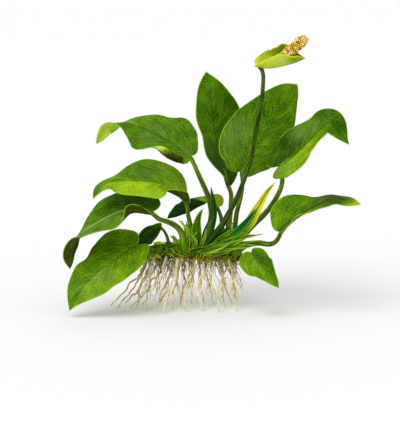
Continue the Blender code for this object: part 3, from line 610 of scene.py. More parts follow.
def makeStalkFinish(name, look):
    # Fresh leaf stalk: firm, smooth and fleshy, olive with paler streaks and its own shade at the foot
    material, tree, shader = startMaterial(name, 0.5, 0.1)
    ring = addNode(tree, "ShaderNodeAttribute", attribute_name="ringPlace").outputs["Vector"]
    along = addNode(tree, "ShaderNodeAttribute", attribute_name="stemAlong").outputs["Fac"]
    lengthwise = addNode(tree, "ShaderNodeMath", {0: along, 1: 0.07}, operation="MULTIPLY").outputs[0]
    stretched = addNode(tree, "ShaderNodeCombineXYZ", {2: lengthwise}).outputs[0]
    around = addNode(tree, "ShaderNodeVectorMath", {0: ring, 1: stretched}, operation="ADD").outputs[0]
    streaks = addNode(tree, "ShaderNodeTexNoise", {
        "Vector": around, "Scale": 1.6, "Detail": 3.0, "Roughness": 0.65}).outputs["Fac"]
    c = look["colours"]
    colour = addNode(tree, "ShaderNodeValToRGB", {"Fac": streaks}, ramp=[
        (0.32, c[0]), (0.74, c[4]), (0.44, c[1]), (0.54, c[2]), (0.63, c[3])]).outputs[0]
    foot = addNode(tree, "ShaderNodeMapRange", {0: along, 1: 0.0, 2: 22.0, 3: 0.6, 4: 0.0}).outputs[0]
    colour = addNode(tree, "ShaderNodeMix", {0: foot, 6: colour, 7: paint(look["foot"])},
                     data_type="RGBA").outputs[2]
    tree.links.new(colour, shader.inputs["Base Color"])
    bump = addNode(tree, "ShaderNodeBump", {"Height": streaks, "Strength": 0.4,
                                            "Distance": 0.1 * mm}).outputs[0]
    tree.links.new(bump, shader.inputs["Normal"])
    return material


def makeRootFinish():
    # Living aquatic root: dull, tough and fibrous, cream-tan with olive-grey strokes; one side of each strand
    # and blots near the top are painted shade
    material, tree, shader = startMaterial("fibrousRoot", 0.75, 0.2)
    place = addNode(tree, "ShaderNodeTexCoord").outputs["Object"]
    ring = addNode(tree, "ShaderNodeAttribute", attribute_name="ringPlace").outputs["Vector"]
    # One side of each strand is pushed darker: painted shade
    side = addNode(tree, "ShaderNodeSeparateXYZ", {0: ring}).outputs[0]
    grain = addNode(tree, "ShaderNodeTexNoise", {
        "Vector": place, "Scale": 1 / (3.0 * mm), "Detail": 3.0, "Roughness": 0.65}).outputs["Fac"]
    shaded = addNode(tree, "ShaderNodeMath", {0: side, 1: 0.16, 2: grain},
                     operation="MULTIPLY_ADD").outputs[0]
    upright = addNode(tree, "ShaderNodeMapping", {
        "Vector": place, "Scale": (1 / (3.5 * mm), 1 / (3.5 * mm), 1 / (40 * mm))}).outputs[0]
    strands = addNode(tree, "ShaderNodeTexNoise",
                      {"Vector": upright, "Scale": 1.0, "Detail": 1.0}).outputs["Fac"]
    strands = addNode(tree, "ShaderNodeMath", {0: strands, 1: 0.5}, operation="SUBTRACT").outputs[0]
    shaded = addNode(tree, "ShaderNodeMath", {0: strands, 1: 0.6, 2: shaded},
                     operation="MULTIPLY_ADD").outputs[0]
    colour = addNode(tree, "ShaderNodeValToRGB", {"Fac": shaded}, ramp=[
        (0.26, "#a0946a"), (0.74, "#fff6d2"), (0.36, "#ccba7a"), (0.46, "#e8d694"),
        (0.58, "#f4e5b0")]).outputs[0]
    height = addNode(tree, "ShaderNodeSeparateXYZ", {0: place}).outputs[2]
    # Slate-grey blots 19 to 28 mm up, under the rhizome: painted shade between the roots
    crown = addNode(tree, "ShaderNodeMapRange",
                    {0: height, 1: 19 * mm, 2: 28 * mm, 3: 0.0, 4: 1.0}).outputs[0]
    shadeBlots = addNode(tree, "ShaderNodeMapRange", {0: grain, 1: 0.48, 2: 0.6, 3: 0.0, 4: 0.85}).outputs[0]
    crown = addNode(tree, "ShaderNodeMath", {0: crown, 1: shadeBlots}, operation="MULTIPLY").outputs[0]
    colour = addNode(tree, "ShaderNodeMix", {0: crown, 6: colour, 7: paint("#3d3f52")},
                     data_type="RGBA").outputs[2]
    tree.links.new(colour, shader.inputs["Base Color"])
    bump = addNode(tree, "ShaderNodeBump", {"Height": grain, "Strength": 0.5,
                                            "Distance": 0.15 * mm}).outputs[0]
    tree.links.new(bump, shader.inputs["Normal"])
    return material


def makeShadowRootletFinish():
    # Short rootlets close under the rhizome, matt and slate-grey: dark strands set in as painted shade
    # between the roots
    material, tree, shader = startMaterial("shadowRootlet", 0.85, 0.1)
    place = addNode(tree, "ShaderNodeTexCoord").outputs["Object"]
    grain = addNode(tree, "ShaderNodeTexNoise", {"Vector": place, "Scale": 1 / (1.5 * mm)}).outputs["Fac"]
    colour = addNode(tree, "ShaderNodeValToRGB", {"Fac": grain}, ramp=[
        (0.38, "#4a4c5a"), (0.68, "#b8ac86")]).outputs[0]
    tree.links.new(colour, shader.inputs["Base Color"])
    return material


finishes.update({name: makeStalkFinish(name, look) for name, look in stalkLooks.items()})
finishes["root"] = makeRootFinish()
finishes["shadedRoot"] = makeShadowRootletFinish()

stalkShape = {"footRadius": 1.9, "topRadius": 0.95, "step": 1.0, "relax": 8, "sides": 16,
              "sunk": 0.8, "keelReach": 0.16, "keelEnd": 0.45, "keelFrom": 0.9, "keelOver": 0.1,
              "slimming": 1.6, "wobble": 0.8, "wobbleSize": 14, "knots": 0.12, "knotSize": 6}
stalkRoutes = {
    1: [(-3, 3, 34), (-2, 3, 43), (0, 2, 52), (-1, 3, 62), (-7, 3, 76)],
    2: [(-9, -2, 34), (-11, -5, 45), (-13, -7, 54)],
    3: [(-15, -3, 34), (-17, -8, 45), (-22, -12, 51), (-30, -15, 54)],
    4: [(-33, -2, 32), (-36, -7, 33), (-40, -10, 35)],
    5: [(-24, 2, 33), (-25, 4, 40), (-27, 5, 44)],
    6: [(4, 4, 32), (6, 9, 43), (6, 13, 50)],
    7: [(9, 4, 32), (10, 10, 47), (11.3, 15, 57), (11.6, 19, 64)],
    8: [(12, 1, 32), (14, 4, 52), (17, 9, 64), (18, 12, 71)],
    9: [(8, -2, 32), (21, -1, 46), (31.5, 1, 56), (38, 1, 66), (40.5, 2, 74)],
    10: [(13, -3, 32), (19, -8, 38), (27, -12, 40), (33, -14, 39), (37, -15, 42)],
    11: [(15, -1, 29), (21, -8, 31), (22, -16, 33)],
}
shadedStalks = (11,)  # a dark one, low under the crown
stalkGirth = {1: 1.2, 3: 1.2, 5: 0.7, 7: 1.2, 9: 1.25, 10: 1.2, 11: 0.7}  # times the plain radius


def stalkPath(leaf, route):
    # Runs up to the blade and on beneath it as the midrib
    s = stalkShape
    frames = bladeFrames(leaf, 100)
    centres, up = frames[1], frames[4]
    below = []
    for share in (0.0, 0.5, 1.0):
        at = round(share * s["keelReach"] * 100)
        radius = s["topRadius"] + (s["keelEnd"] - s["topRadius"]) * share
        below.append(centres[at] - up[at] * s["sunk"] * radius)
    chain = np.vstack([smoothRoute([*route, tuple(below[0])], 40), below[1:]])
    length = np.linalg.norm(np.diff(chain, axis=0), axis=1).sum()
    chain = spaced(chain, round(length / s["step"]))
    for turn in range(s["relax"]):
        chain[1:-1] = (chain[:-2] + 2 * chain[1:-1] + chain[2:]) / 4
    return chain


def makeStalks():
    s = stalkShape
    for number, leaf in leaves.items():
        path = stalkPath(leaf, stalkRoutes[number])
        t = np.linspace(0, 1, len(path))
        slim = s["topRadius"] + (s["footRadius"] - s["topRadius"]) * (1 - t) ** s["slimming"]
        keel = np.clip((t - s["keelFrom"]) / s["keelOver"], 0, 1)
        radii = (slim * (1 - keel) + s["keelEnd"] * keel) * stalkGirth.get(number, 1.0)
        stalk = makeStem(f"leafStalk_{number}", [(path, radii, np.sin(math.pi * t))],
                         finishes["darkStalk" if number in shadedStalks else "stalk"], sides=s["sides"],
                         wobble=s["wobble"], wobbleSize=s["wobbleSize"], knots=s["knots"],
                         knotSize=s["knotSize"], seed=number)
        hand(stalk, "stalk", f"leaf_stalk_{number}")


def makeLeaves():
    for number, leaf in leaves.items():
        dark = number in shadedLeaves
        skins = (leaf.get("finish", "leafTop"), "leafUnderside")
        if dark:
            skins = ("darkLeafTop", "darkLeafUnderside")
        blade = makeBlade(f"leafBlade_{number}", leaf, [finishes[skin] for skin in skins],
                          phase=number * 0.37)
        hand(blade, "leaf_dark" if dark else "leaf", f"leaf_blade_{number}")
    for number, young in youngLeaves.items():
        blade = makeBlade(f"youngLeaf_{number}", {**youngLeafShape, **young},
                          [finishes[young["finish"]], finishes["leafUnderside"]], youngBlade, number * 0.6)
        hand(blade, "leaf_young", f"young_leaf_{number}")


makeLeaves()
print("leaves done")
makeStalks()
print("stalks done")


# Rhizome: a thick creeping stem with ring scars, lumps, one long leaf scar and a fuzz of old fibres

rhizomeRoute = [(-38, 0, 31), (-27, 1, 33), (-15, -1, 34), (-4, 0, 33), (8, 1, 32), (17, -1, 30)]
rhizomeShape = {"radius": 4.6, "ringLength": 5.5, "ringDepth": 0.5, "ringTilt": 0.9, "lump": 1.1,
                "lumpSize": 4.0, "steps": 190, "sides": 56, "shadeFrom": 0.8,
                "ringSharpness": 10, "ringTwist": 0.3, "fineLumpShare": 0.35}
# Leaf scars: distance along the stem from 0 to 1, angle round it from the top, half length and half height
leafScars = [(0.09, 108, 3.2, 1.5)]


def makeRhizome():
    r = rhizomeShape
    centres = smoothRoute(rhizomeRoute, r["steps"])
    ahead = unit(np.gradient(centres, axis=0))
    side = unit(np.cross(ahead, np.array([0.0, 0.0, 1.0])))
    up = np.cross(side, ahead)
    share = np.linspace(0, 1, r["steps"] + 1)[:, None]
    angle = np.linspace(0, 2 * math.pi, r["sides"], endpoint=False)[None, :]
    length = np.linalg.norm(np.diff(centres, axis=0), axis=1).sum()
    along = share * length
    leaning = along + r["ringTilt"] * np.cos(angle + along * r["ringTwist"])
    groove = np.abs(np.cos(math.pi * leaning / r["ringLength"])) ** r["ringSharpness"]
    ends = np.minimum(share, 1 - share) * length / r["radius"]
    cap = np.sqrt(np.clip(1 - (1 - np.minimum(ends, 1)) ** 2, 0.0004, 1))
    outward = (side[:, None] * np.sin(angle)[..., None] + up[:, None] * np.cos(angle)[..., None])
    rough = np.array([[noise.noise(Vector(c + o * r["radius"]) / r["lumpSize"])
                       + 0.5 * noise.noise(Vector(c + o * r["radius"]) / (r["fineLumpShare"] * r["lumpSize"]))
                       for o in row] for c, row in zip(centres, outward)])
    scarMask = np.zeros(groove.shape)
    for at, turn, halfLength, halfHeight in leafScars:
        apart = (angle - math.radians(turn) + math.pi) % (2 * math.pi) - math.pi
        away = np.sqrt(((along - at * length) / halfLength) ** 2 + (apart * r["radius"] / halfHeight) ** 2)
        scarMask = np.maximum(scarMask, np.clip((1.25 - away) / 0.35, 0, 1))
    radius = (r["radius"] - r["ringDepth"] * groove + r["lump"] * rough * (1 - scarMask)) * cap
    places = (centres[:, None] + outward * radius[..., None]).reshape(-1, 3)
    rows, sides = groove.shape
    index = np.arange(rows * sides).reshape(rows, sides)
    wrapped = np.hstack([index, index[:, :1]])
    faces = np.stack([wrapped[:-1, :-1], wrapped[:-1, 1:], wrapped[1:, 1:], wrapped[1:, :-1]], -1)
    faces = faces.reshape(-1, 4).tolist() + [index[0, ::-1].tolist(), index[-1].tolist()]
    mesh = bpy.data.meshes.new("rhizomeStem")
    mesh.from_pydata((places + plantShift) * mm, [], faces)
    addNumbers(mesh, "ringMark", groove)
    addNumbers(mesh, "scarMark", scarMask)
    addNumbers(mesh, "topSide", np.cos(angle) + 0 * share)
    # The growing end, under the crown, is painted darker as shade
    addNumbers(mesh, "shadedEnd", np.clip((share - r["shadeFrom"]) * 6, 0, 1) + 0 * angle)
    mesh.materials.append(finishes["rhizome"])
    mesh.shade_smooth()
    return hand(newPiece("rhizomeStem", mesh), "rhizome", "rhizome")


def makeRhizomeFinish():
    # Old creeping stem: rough corky skin, brown-olive below and mossy green above, one pale leaf scar, and
    # its growing end darkened as painted shade under the crown
    material, tree, shader = startMaterial("corkyRhizome", 0.8, 0.15)
    place = addNode(tree, "ShaderNodeTexCoord").outputs["Object"]
    grain = addNode(tree, "ShaderNodeTexNoise", {
        "Vector": place, "Scale": 1 / (1.4 * mm), "Detail": 4.0, "Roughness": 0.7}).outputs["Fac"]
    colour = addNode(tree, "ShaderNodeValToRGB", {"Fac": grain}, ramp=[
        (0.32, "#161c02"), (0.72, "#9c9c12"), (0.44, "#2c3804"), (0.52, "#475506"),
        (0.61, "#6a7508")]).outputs[0]
    top = addNode(tree, "ShaderNodeAttribute", attribute_name="topSide").outputs["Fac"]
    moss = addNode(tree, "ShaderNodeMath", {0: grain, 1: 1.2, 2: top}, operation="MULTIPLY_ADD").outputs[0]
    moss = addNode(tree, "ShaderNodeMapRange", {0: moss, 1: 0.5, 2: 1.3, 3: 0.0, 4: 0.85}).outputs[0]
    mossColour = addNode(tree, "ShaderNodeValToRGB", {"Fac": grain}, ramp=[
        (0.3, "#173404"), (0.7, "#6f9c10")]).outputs[0]
    colour = addNode(tree, "ShaderNodeMix", {0: moss, 6: colour, 7: mossColour}, data_type="RGBA").outputs[2]
    ring = addNode(tree, "ShaderNodeAttribute", attribute_name="ringMark").outputs["Fac"]
    ring = addNode(tree, "ShaderNodeMath", {0: ring, 1: 0.7}, operation="MULTIPLY").outputs[0]
    scar = addNode(tree, "ShaderNodeAttribute", attribute_name="scarMark").outputs["Fac"]
    scar = addNode(tree, "ShaderNodeMath", {0: scar, 1: 0.9}, operation="MULTIPLY").outputs[0]
    dark = addNode(tree, "ShaderNodeAttribute", attribute_name="shadedEnd").outputs["Fac"]
    dark = addNode(tree, "ShaderNodeMath", {0: dark, 1: 0.75}, operation="MULTIPLY").outputs[0]
    for mask, shade in ((ring, "#11140a"), (scar, "#a8a53a"), (dark, "#142404")):
        colour = addNode(tree, "ShaderNodeMix", {0: mask, 6: colour, 7: paint(shade)},
                         data_type="RGBA").outputs[2]
    tree.links.new(colour, shader.inputs["Base Color"])
    bump = addNode(tree, "ShaderNodeBump", {"Height": grain, "Strength": 0.8,
                                            "Distance": 0.4 * mm}).outputs[0]
    tree.links.new(bump, shader.inputs["Normal"])
    return material


def makeFibreFinish(name, stops):
    # Dry old root and leaf-base fibre: matt and wiry, each one its own shade
    material, tree, shader = startMaterial(name, 0.8, 0.15)
    shade = addNode(tree, "ShaderNodeAttribute", attribute_name="fibreShade").outputs["Fac"]
    colour = addNode(tree, "ShaderNodeValToRGB", {"Fac": shade}, ramp=stops).outputs[0]
    tree.links.new(colour, shader.inputs["Base Color"])
    return material


finishes["rhizome"] = makeRhizomeFinish()
finishes["wiryFibre"] = makeFibreFinish("wiryFibre", [
    (0.0, "#3c4604"), (1.0, "#e6e024"), (0.35, "#848a08"), (0.7, "#bcbc12")])
finishes["mossFuzz"] = makeFibreFinish("mossFuzz", [(0.0, "#173804"), (1.0, "#93c218"), (0.5, "#447a08")])


def makeFibreTree():
    # Scatters short bent fibres over a surface
    tree, given = startTree("fibresOnSurface", {
        "Density": ("Float", 1.0), "Radius": ("Float", 0.001), "Sweep": ("Float", 3.0),
        "Thickness": ("Float", 0.0002), "Steps": ("Int", 8), "Seed": ("Int", 0),
        "Material": ("Material", None)})
    where = addNode(tree, "GeometryNodeInputNamedAttribute", {"Name": "fibreCover"},
                    data_type="FLOAT").outputs[0]
    density = addNode(tree, "ShaderNodeMath", {0: where, 1: given["Density"]},
                      operation="MULTIPLY").outputs[0]
    spots = addNode(tree, "GeometryNodeDistributePointsOnFaces", {
        "Mesh": given["Geometry"], "Density": density, "Seed": given["Seed"]})
    arc = addNode(tree, "GeometryNodeCurveArc", {
        "Resolution": given["Steps"], "Radius": given["Radius"], "Sweep Angle": given["Sweep"]}).outputs[0]
    ring = addNode(tree, "GeometryNodeCurvePrimitiveCircle", {
        "Resolution": 4, "Radius": given["Thickness"]}).outputs[0]
    place = addNode(tree, "GeometryNodeSplineParameter").outputs["Factor"]
    slim = addNode(tree, "ShaderNodeMapRange", {0: place, 1: 0.3, 2: 1.0, 3: 1.0, 4: 0.3}).outputs[0]
    fibre = addNode(tree, "GeometryNodeCurveToMesh", {
        "Curve": arc, "Profile Curve": ring, "Scale": slim, "Fill Caps": True}).outputs[0]
    back = addNode(tree, "ShaderNodeMath", {0: given["Radius"], 1: -1.0}, operation="MULTIPLY").outputs[0]
    foot = addNode(tree, "ShaderNodeCombineXYZ", {0: back}).outputs[0]
    fibre = addNode(tree, "GeometryNodeSetPosition", {"Geometry": fibre, "Offset": foot}).outputs[0]
    turn = addNode(tree, "FunctionNodeRandomValue", {
        0: (-0.9, -1.3, -3.2), 1: (0.9, 0.2, 3.2), "Seed": given["Seed"]},
        data_type="FLOAT_VECTOR").outputs[0]
    turned = addNode(tree, "FunctionNodeEulerToRotation", {0: turn}).outputs[0]
    rotation = addNode(tree, "FunctionNodeRotateRotation", {
        0: spots.outputs["Rotation"], 1: turned}, rotation_space="LOCAL").outputs[0]
    size = addNode(tree, "FunctionNodeRandomValue", {2: 0.5, 3: 1.4, "Seed": given["Seed"]},
                   data_type="FLOAT").outputs[1]
    many = addNode(tree, "GeometryNodeInstanceOnPoints", {
        "Points": spots.outputs["Points"], "Instance": fibre, "Rotation": rotation, "Scale": size}).outputs[0]
    return endScatter(tree, many, "fibreShade", 5, given["Material"])


fibreTree = makeFibreTree()
# Real fibres are finer: these are drawn about 0.4 mm thick, so that they show
fibreKinds = {
    "wiryFibres": dict(density=2.0, radius=2.4, sweep=120, thickness=0.2, steps=8, seed=3,
                       finish="wiryFibre"),
    "mossFuzz": dict(density=2.6, radius=3.0, sweep=38, thickness=0.2, steps=4, seed=8, finish="mossFuzz"),
}

# Where each kind grows along the stem, in millimetres from the plant's middle
fibreCover = {"wiryFrom": -20, "wiryRise": 16, "wiryTo": 15, "wiryFall": 6, "mossFrom": -33, "mossRise": 8}


def makeFibres(rhizome):
    mesh = rhizome.data
    places = np.array([v.co for v in mesh.vertices]) / mm - plantShift
    top = np.array([item.value for item in mesh.attributes["topSide"].data])
    x = places[:, 0]
    c = fibreCover
    cover = {"wiryFibres": np.clip((x - c["wiryFrom"]) / c["wiryRise"], 0.15, 1)
             * np.clip((c["wiryTo"] - x) / c["wiryFall"], 0.05, 1) * np.clip(0.5 - top, 0, 1),
             "mossFuzz": np.clip(top + 0.75, 0, 1) * np.clip((x - c["mossFrom"]) / c["mossRise"], 0.1, 1)}
    for name, kind in fibreKinds.items():
        source = newPiece(name, mesh.copy())
        addNumbers(source.data, "fibreCover", cover[name])
        grow(source, fibreTree, {
            "Density": kind["density"] / mm ** 2, "Radius": kind["radius"] * mm,
            "Sweep": math.radians(kind["sweep"]), "Thickness": kind["thickness"] * mm,
            "Steps": kind["steps"], "Seed": kind["seed"], "Material": finishes[kind["finish"]]})
        hand(source, "rhizome")


rhizome = makeRhizome()
makeFibres(rhizome)
print("rhizome done")


# Roots: kinked, forked strands that follow the CAD roots, with fine rootlets between them

rootEnds = [
    ((-36, 1), (-58, 6, 0)), ((-35, -1), (-54, -6, 0)), ((-33, 2), (-50, 12, 0)), ((-32, -2), (-47, -12, 0)),
    ((-30, 0), (-43, 2, 0)), ((-27, 2), (-40, 9, 0)), ((-26, -2), (-37, -8, 0)), ((-23, 0), (-31, 3, 0)),
    ((-21, 2), (-30, 14, 0)), ((-20, -2), (-27, -14, 0)), ((-17, 0), (-23, -4, 0)), ((-14, 2), (-18, 8, 0)),
    ((-13, -2), (-15, -11, 0)), ((-10, 0), (-12, 1, 0)), ((-7, 2), (-8, 13, 0)), ((-6, -2), (-5, -8, 0)),
    ((-3, 0), (-1, 4, 0)), ((0, 2), (2, 11, 0)), ((1, -2), (4, -13, 0)), ((5, 0), (8, -2, 0)),
    ((8, 2), (12, 8, 0)), ((10, -2), (14, -10, 0)), ((13, 0), (18, 1, 10)),
]
rootShape = {"steps": 5, "kink": 1.6, "startHeight": 31.5, "seed": 7, "footRadius": 0.85, "tipRadius": 0.35,
             "wobble": 9.5, "wobbleSize": 9.0, "floorGap": 0.05, "rootlets": 56, "rootletRadius": 0.26,
             "innerRootlets": 80, "greyRootlets": 20,
             "rootletFrom": -36, "innerFrom": -35, "rootletSpan": 50, "spreadFrom": -8,
             "rootletFoot": 30.5, "hang": 30, "sag": 14, "lowestTip": 0.5, "rootletTip": 0.12,
             "rootletSteps": 26, "bend": 1.4, "strandSteps": 40}
forkShape = {"from": 0.35, "to": 0.7, "thinner": 0.72, "tipRadius": 0.16, "steps": 14, "highEnough": 14}


def rootRoute(start, tip, chance):
    # The CAD root's own route, drawn with the same chances
    r = rootShape
    route = []
    for i in range(r["steps"] + 1):
        t = i / r["steps"]
        spread = t ** r["bend"]
        place = [start[0] + (tip[0] - start[0]) * spread, start[1] + (tip[1] - start[1]) * spread,
                 r["startHeight"] + (tip[2] - r["startHeight"]) * t]
        if 0 < i < r["steps"]:
            place[0] += chance.uniform(-r["kink"], r["kink"]) * math.sin(math.pi * t)
            place[1] += chance.uniform(-r["kink"], r["kink"]) * math.sin(math.pi * t)
        route.append(place)
    route[-1][2] += r["tipRadius"]
    return np.array(route)


def strand(points, footRadius, tipRadius, steps):
    # Smooth path with a slim tip, free to wobble except at its ends
    path = smoothRoute(points, steps)
    t = np.linspace(0, 1, steps + 1)
    radii = footRadius + (tipRadius - footRadius) * t ** 0.7
    radii[-1] *= 0.35
    free = np.sin(math.pi * np.clip(t, 0, 1)) ** 0.7
    return path, radii, free


def fork(path, radii, chance, reach):
    # A side root that leaves the strand and runs down beside it
    f = forkShape
    at = round(chance.uniform(f["from"], f["to"]) * (len(path) - 1))
    begin = path[at]
    low = chance.uniform(0.3, 0.55) if begin[2] > f["highEnough"] else 0.0
    end = np.array([begin[0] + chance.choice((-1, 1)) * chance.uniform(0.5, 1) * reach,
                    begin[1] + chance.uniform(-1, 1) * reach * 0.6,
                    max(begin[2] * low, 0.4)])
    middle = begin * 0.5 + end * 0.5 + np.array([chance.uniform(-1.2, 1.2), chance.uniform(-1, 1), -1.0])
    return strand([tuple(begin), tuple(middle), tuple(end)], radii[at] * f["thinner"], f["tipRadius"],
                  f["steps"])


def keepAboveFloor(piece, lowest):
    places = np.empty(len(piece.data.vertices) * 3, np.float32)
    piece.data.vertices.foreach_get("co", places)
    heights = places[2::3]
    heights[:] = np.maximum(heights, lowest)
    piece.data.vertices.foreach_set("co", places)


def makeRoots():
    r = rootShape
    chance = random.Random(r["seed"])
    routes = [rootRoute(start, tip, chance) for start, tip in rootEnds]
    extra = random.Random(r["seed"] + 11)
    for number, route in enumerate(routes, 1):
        main = strand(route, r["footRadius"], r["tipRadius"], r["strandSteps"])
        forks = [fork(main[0], main[1], extra, extra.uniform(3, 7)) for k in range(extra.choice((0, 1, 1)))]
        root = makeStem(f"rootStrand_{number:02d}", [main] + forks, finishes["root"], sides=10,
                        wobble=r["wobble"], wobbleSize=r["wobbleSize"], knots=0.5, knotSize=2.5,
                        seed=number * 1.7)
        keepAboveFloor(root, r["floorGap"] * mm)
        hand(root, "root", f"root_{number:02d}")
    fine = []
    for k in range(r["rootlets"]):
        t = (k + extra.uniform(0, 1)) / r["rootlets"]
        x = r["rootletFrom"] + r["rootletSpan"] * t
        y = extra.uniform(-3, 3)
        drop = extra.uniform(0.25, 1.0)
        spread = (x - r["spreadFrom"]) * 0.42 * drop
        end = (x + spread + extra.uniform(-4, 4), y * (1 + 2.5 * drop) + extra.uniform(-2, 2),
               r["hang"] * (1 - drop) + r["lowestTip"])
        middle = (x + spread * 0.3 + extra.uniform(-1.5, 1.5), y * 1.4, r["hang"] - r["sag"] * drop)
        fine.append(strand([(x, y, r["rootletFoot"]), middle, end],
                           r["rootletRadius"] * extra.uniform(0.6, 1.5), r["rootletTip"], r["rootletSteps"]))
    rootlets = makeStem("fineRootlets", fine, finishes["root"], sides=6, wobble=5.0, wobbleSize=6.0,
                        knots=0.4, knotSize=2.0, seed=40.0)
    keepAboveFloor(rootlets, r["floorGap"] * mm)
    hand(rootlets, "root")
    # Slate-grey rootlets, short ones under the rhizome and long ones among the roots, as painted shade
    # between the cream roots
    inner = []
    for k in range(r["innerRootlets"]):
        x = r["innerFrom"] + r["rootletSpan"] * (k + extra.uniform(0, 1)) / r["innerRootlets"]
        y = extra.uniform(-1.5, 3.5)
        end = (x + extra.uniform(-2.5, 2.5) + (x - r["spreadFrom"]) * 0.1, y + extra.uniform(-1, 2),
               extra.uniform(17, 25))
        inner.append(strand([(x, y, 31), (x + extra.uniform(-1, 1), y, 27), end],
                            extra.uniform(0.3, 0.65), r["rootletTip"], 12))
    for k in range(r["greyRootlets"]):
        x = r["rootletFrom"] + r["rootletSpan"] * (k + extra.uniform(0, 1)) / r["greyRootlets"]
        y = extra.uniform(-3, 3)
        drop = extra.uniform(0.5, 1.0)
        end = (x + (x - r["spreadFrom"]) * 0.4 * drop + extra.uniform(-4, 4), y * 2.5,
               r["hang"] * (1 - drop) + r["lowestTip"])
        middle = (x + (x - r["spreadFrom"]) * 0.15, y * 1.4, r["hang"] - r["sag"] * drop)
        inner.append(strand([(x, y, r["rootletFoot"]), middle, end],
                            extra.uniform(0.25, 0.35), r["rootletTip"], r["rootletSteps"]))
    shaded = makeStem("innerRootlets", inner, finishes["shadedRoot"], sides=6, wobble=3.0, wobbleSize=5.0,
                      knots=0.6, knotSize=2.0, seed=70.0)
    hand(shaded, "root")


makeRoots()
print("roots done")


# Crown: pointed sheaths that clasp the stalks, and rolled shoots

sheathFinish = dict(colours=["#1f4803", "#3a6806", "#5a8a0a", "#82ae16", "#b6cc34"], toneFrom="tone",
                    sheenPatch="#86a060", rim="#9cc028", ribPale="#a8c060", ribDark="#1f4803",
                    roughness=0.5, specular=0.12)
# Young sheath: thin and papery, so a little glossier than a leaf, in fresh mid green
finishes["sheath"] = makeLeafFinish("paperySheath", sheathFinish)
sheathBlade = {**bladeShape, "rows": 56, "columns": 9, "thickness": 0.4, "keelHeight": 0.25,
               "grooveDepth": 0.1, "veinsPerSide": 5, "veinDepth": 0.04, "rippleHeight": 0.2,
               "cornerRound": 0.3}
shootBlade = {**sheathBlade, "rows": 40, "columns": 6, "thickness": 0.3}
sheathShape = dict(heart=0.8, belly=0.25, taper=1.5, lobe=0, skew=0, under=[0.35] * 5, sheenPatch=[],
                   rib=[0, 0, 0, 0, 0])
sheaths = {
    1: dict(midrib=[(-6, -4, 36), (-2.5, -7, 44), (0.9, -6, 54), (0.9, -4, 62), (-0.5, -2, 71)], width=9,
            facing=[(0, 10)] * 4, riseLeft=[-60, -50, -50, -40, -30], riseRight=[-60, -50, -50, -40, -30],
            toneLeft=[0.55, 0.5, 0.35, 0.3, 0.4], toneRight=[0.4, 0.4, 0.3, 0.2, 0.4], finish="darkLeafTop",
            sheenPatch=[(0.2, -0.2, 0.15, 0.3, 0.8), (0.42, -0.3, 0.12, 0.3, 0.6)]),
    2: dict(midrib=[(6, -3, 32), (16, -11, 42), (28, -14, 45)], width=5.5,
            facing=[(0, 50)] * 4, riseLeft=[60, 50, 50, 40, 30], riseRight=[60, 50, 50, 40, 30],
            toneLeft=[0.6, 0.5, 0.3, 0.2, 0.1], toneRight=[0.6, 0.6, 0.4, 0.3, 0.2]),
    3: dict(midrib=[(-13, -2, 34), (-13, -7, 45), (-16, -9, 50), (-19, -9, 53)], width=5,
            facing=[(-20, 20)] * 4, riseLeft=[60, 60, 50, 40, 30], riseRight=[60, 60, 50, 40, 30],
            toneLeft=[0.5, 0.6, 0.7, 0.8, 0.8], toneRight=[0.5, 0.6, 0.7, 0.8, 0.8]),
    4: dict(midrib=[(-20, 0, 34), (-21, 1, 40), (-24, 1, 42)], width=4,
            facing=[(-20, 20)] * 4, riseLeft=[60, 60, 50, 40, 30], riseRight=[60, 60, 50, 40, 30],
            toneLeft=[0.5, 0.5, 0.5, 0.6, 0.6], toneRight=[0.5, 0.5, 0.5, 0.6, 0.6]),
}


